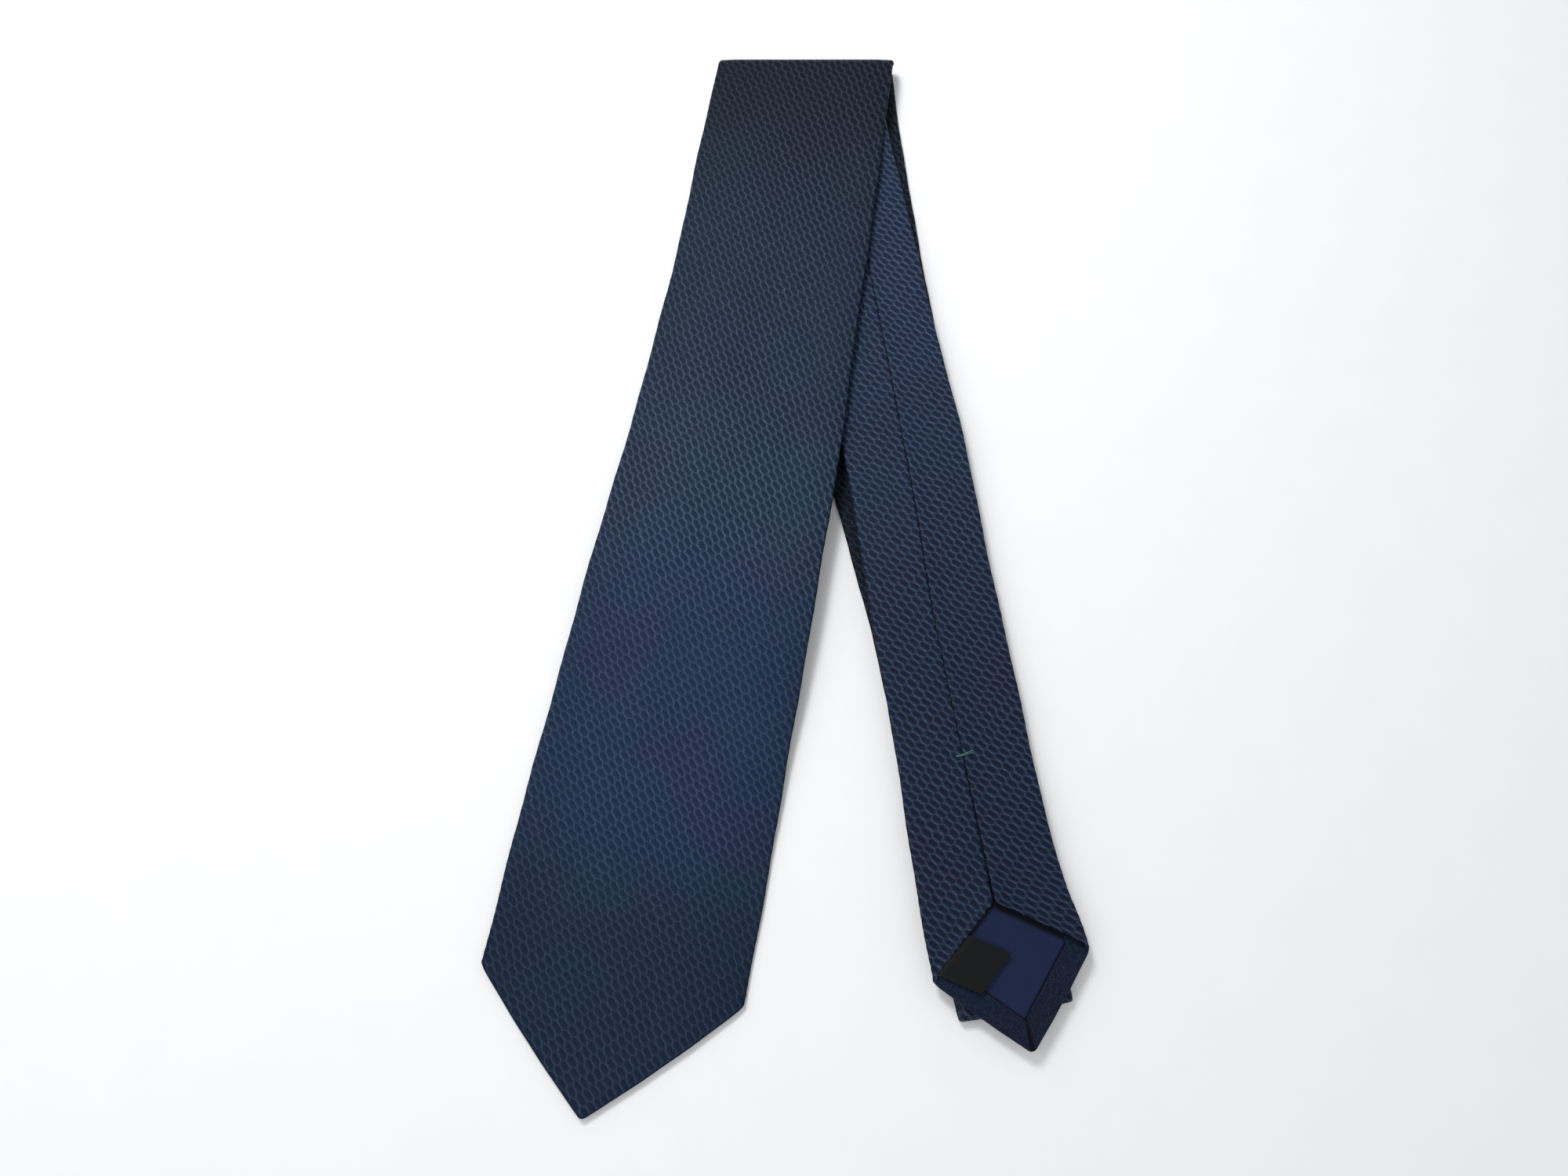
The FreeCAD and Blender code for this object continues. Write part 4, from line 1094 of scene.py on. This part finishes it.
def blade_contrast(s):
    """Painted sheen: the outlines are painted stronger near the fold and fainter towards the tip, where the sheen
    washes over the pattern.
    """
    return s.times(s.ramp(s.q, 10.0, 90.0, 1.4, 1.0), s.ramp(s.q, 165.0, 250.0, 1.0, 0.38))


def blade_painted_lighting(s):
    """Painted lighting on the blade: painted darker by the fold, a painted sheen highlight below the middle, and
    painted darker towards the tip and the edges.
    """
    from_fold = s.ramp(s.q, 5.0, 95.0, 0.29, 0.75)
    to_middle = s.times(s.ramp(s.q, 90.0, 240.0, 1.0, 1.68), s.ramp(s.q, 170.0, 260.0, 1.0, 1.28))
    to_tip = s.ramp(s.q, 285.0, 345.0, 1.0, 0.68)
    to_edge = s.ramp(s.math("ABSOLUTE", s.p), 14.0, 42.0, 1.06, 0.9)
    return s.times(from_fold, to_middle, to_tip, to_edge)


def tail_painted_shading(s):
    """Painted shading: the tail's back is painted lighter near its fold and darker towards its tip."""
    return s.ramp(s.q, 60.0, 330.0, 1.11, 0.75)


SILK_BLADE = silk("navy_honeycomb_silk_blade", (0.0042, 0.0142, 0.0345), (0.060, 0.092, 0.148),
                  blade_contrast, blade_painted_lighting)
SILK_TAIL = silk("navy_honeycomb_silk_tail", (0.0046, 0.0126, 0.0365), (0.062, 0.096, 0.162),
                 lambda s: 0.95, tail_painted_shading, (0.0084, 0.0102, 0.0335), 0.6)
SILK_NECK = silk("navy_honeycomb_silk_neck", (0.0068, 0.0125, 0.0285), (0.052, 0.076, 0.118), lambda s: 0.9)
NAVY_SATIN = (0.0080, 0.0150, 0.054), 0.3, 0.5, 0.03, 0.2, 0.04
BLADE_SATIN = satin("navy_satin_blade_lining", *NAVY_SATIN, painted_shadow_lines(BLADE_TIP, 0.8, 0.8, 0.8))
TAIL_SATIN = satin("navy_satin_tail_lining", *NAVY_SATIN, painted_shadow_lines(TAIL_TIP, 1.1, 2.3, 0.9))
MAKER = satin("blank_navy_damask", (0.012, 0.018, 0.042), 0.5, 0.5, 0.05, 0.4, 0.5)
LABEL = satin("blank_black_satin", (0.0036, 0.0040, 0.0043), 0.3, 0.55, 0.02, 0.22, 0.12)
WOOL = wool("ecru_wool")
THREAD = twisted("navy_thread", (0.02, 0.03, 0.06))
TWIST = twisted("grey_green_twist", (0.075, 0.19, 0.15))


# ---- light, floor and camera ----


FLOOR_REACH = 6.0
WORLD_LIGHT = 0.50
LAMPS = (("key", -0.26, 0.46, 0.68, 0.22, 4.2), ("left", -0.80, 0.20, 0.85, 0.8, 1.8),
         ("fill", -0.30, -0.65, 0.95, 0.9, 1.6))
LENS = 26.2
CAMERA_PLACE = (-0.0087, -0.3185, 0.3812)
CAMERA_TILT = math.radians(15.48)


def build_floor():
    """A pale floor."""
    corners = [(x * FLOOR_REACH, y * FLOOR_REACH, 0) for x, y in ((-1, -1), (1, -1), (1, 1), (-1, 1))]
    mesh = bpy.data.meshes.new("floor")
    mesh.from_pydata(corners, [], [(0, 1, 2, 3)])
    s = Shader("pale_floor")
    grain = s.noise(s.node("TexCoord").outputs["Object"], 60.0, 3.0)
    s.finish(s.blend(grain, (0.93, 0.93, 0.93), (0.96, 0.96, 0.96)), 0.9, 0.0, 0.1)
    mesh.materials.append(s.material)
    add("floor", mesh)


def build_studio():
    """Square soft lights aimed at the tie's middle, and the camera nearly overhead."""
    scene = bpy.context.scene
    world = bpy.data.worlds.new("studio")
    world.use_nodes = True
    sky = world.node_tree.nodes["Background"].inputs
    sky["Color"].default_value = (0.96, 0.98, 1.0, 1.0)
    sky["Strength"].default_value = WORLD_LIGHT
    scene.world = world
    middle = (cad_low + cad_high) / 2
    for name, x, y, z, size, watts in LAMPS:
        lamp = bpy.data.lights.new(name, "AREA")
        lamp.size, lamp.energy = size, watts
        made = add(name, lamp)
        made.location = (middle.x + x, middle.y + y, z)
        made.rotation_euler = Vector((-x, -y, -z)).to_track_quat("-Z", "Y").to_euler()
    scene.view_settings.view_transform = "Standard"
    scene.camera = add("camera", bpy.data.cameras.new("camera"))
    scene.camera.data.lens = LENS
    scene.camera.data.sensor_width = 36
    scene.camera.data.clip_start = 0.02
    scene.camera.location = CAMERA_PLACE
    scene.camera.rotation_euler = (CAMERA_TILT, 0, 0)


build_blade()
build_tail()
build_neck()
interlining("interlining_wide", WIDE, BLADE_TIP, UPPER_END, UPPER_HALF, 0.7,
            ["blade_interlining", "top_fold_interlining", "interlining_middle"])
interlining("interlining_narrow", NARROW, TAIL_TIP, UNDER_END, UNDER_HALF, 0.45,
            ["tail_interlining", "tail_fold_interlining"])
slip_stitch("slip_stitch_wide", WIDE, UPPER_END, BLADE_TACK, MIDDLE, MIDDLE,
            ["blade_slip_stitch", "slip_stitch_middle"])
slip_stitch("slip_stitch_narrow", NARROW, UNDER_END, TAIL_TACK, TAIL_SEAM, UNDER_SEAM,
            ["tail_slip_stitch"])
bar_tack("blade_bar_tack", WIDE, BLADE_TACK, 0.0, "blade")
bar_tack("tail_bar_tack", NARROW, TAIL_TACK, -2.9, "tail")
build_keeper_loop()
build_maker_label()
build_care_label()
build_floor()
build_studio()
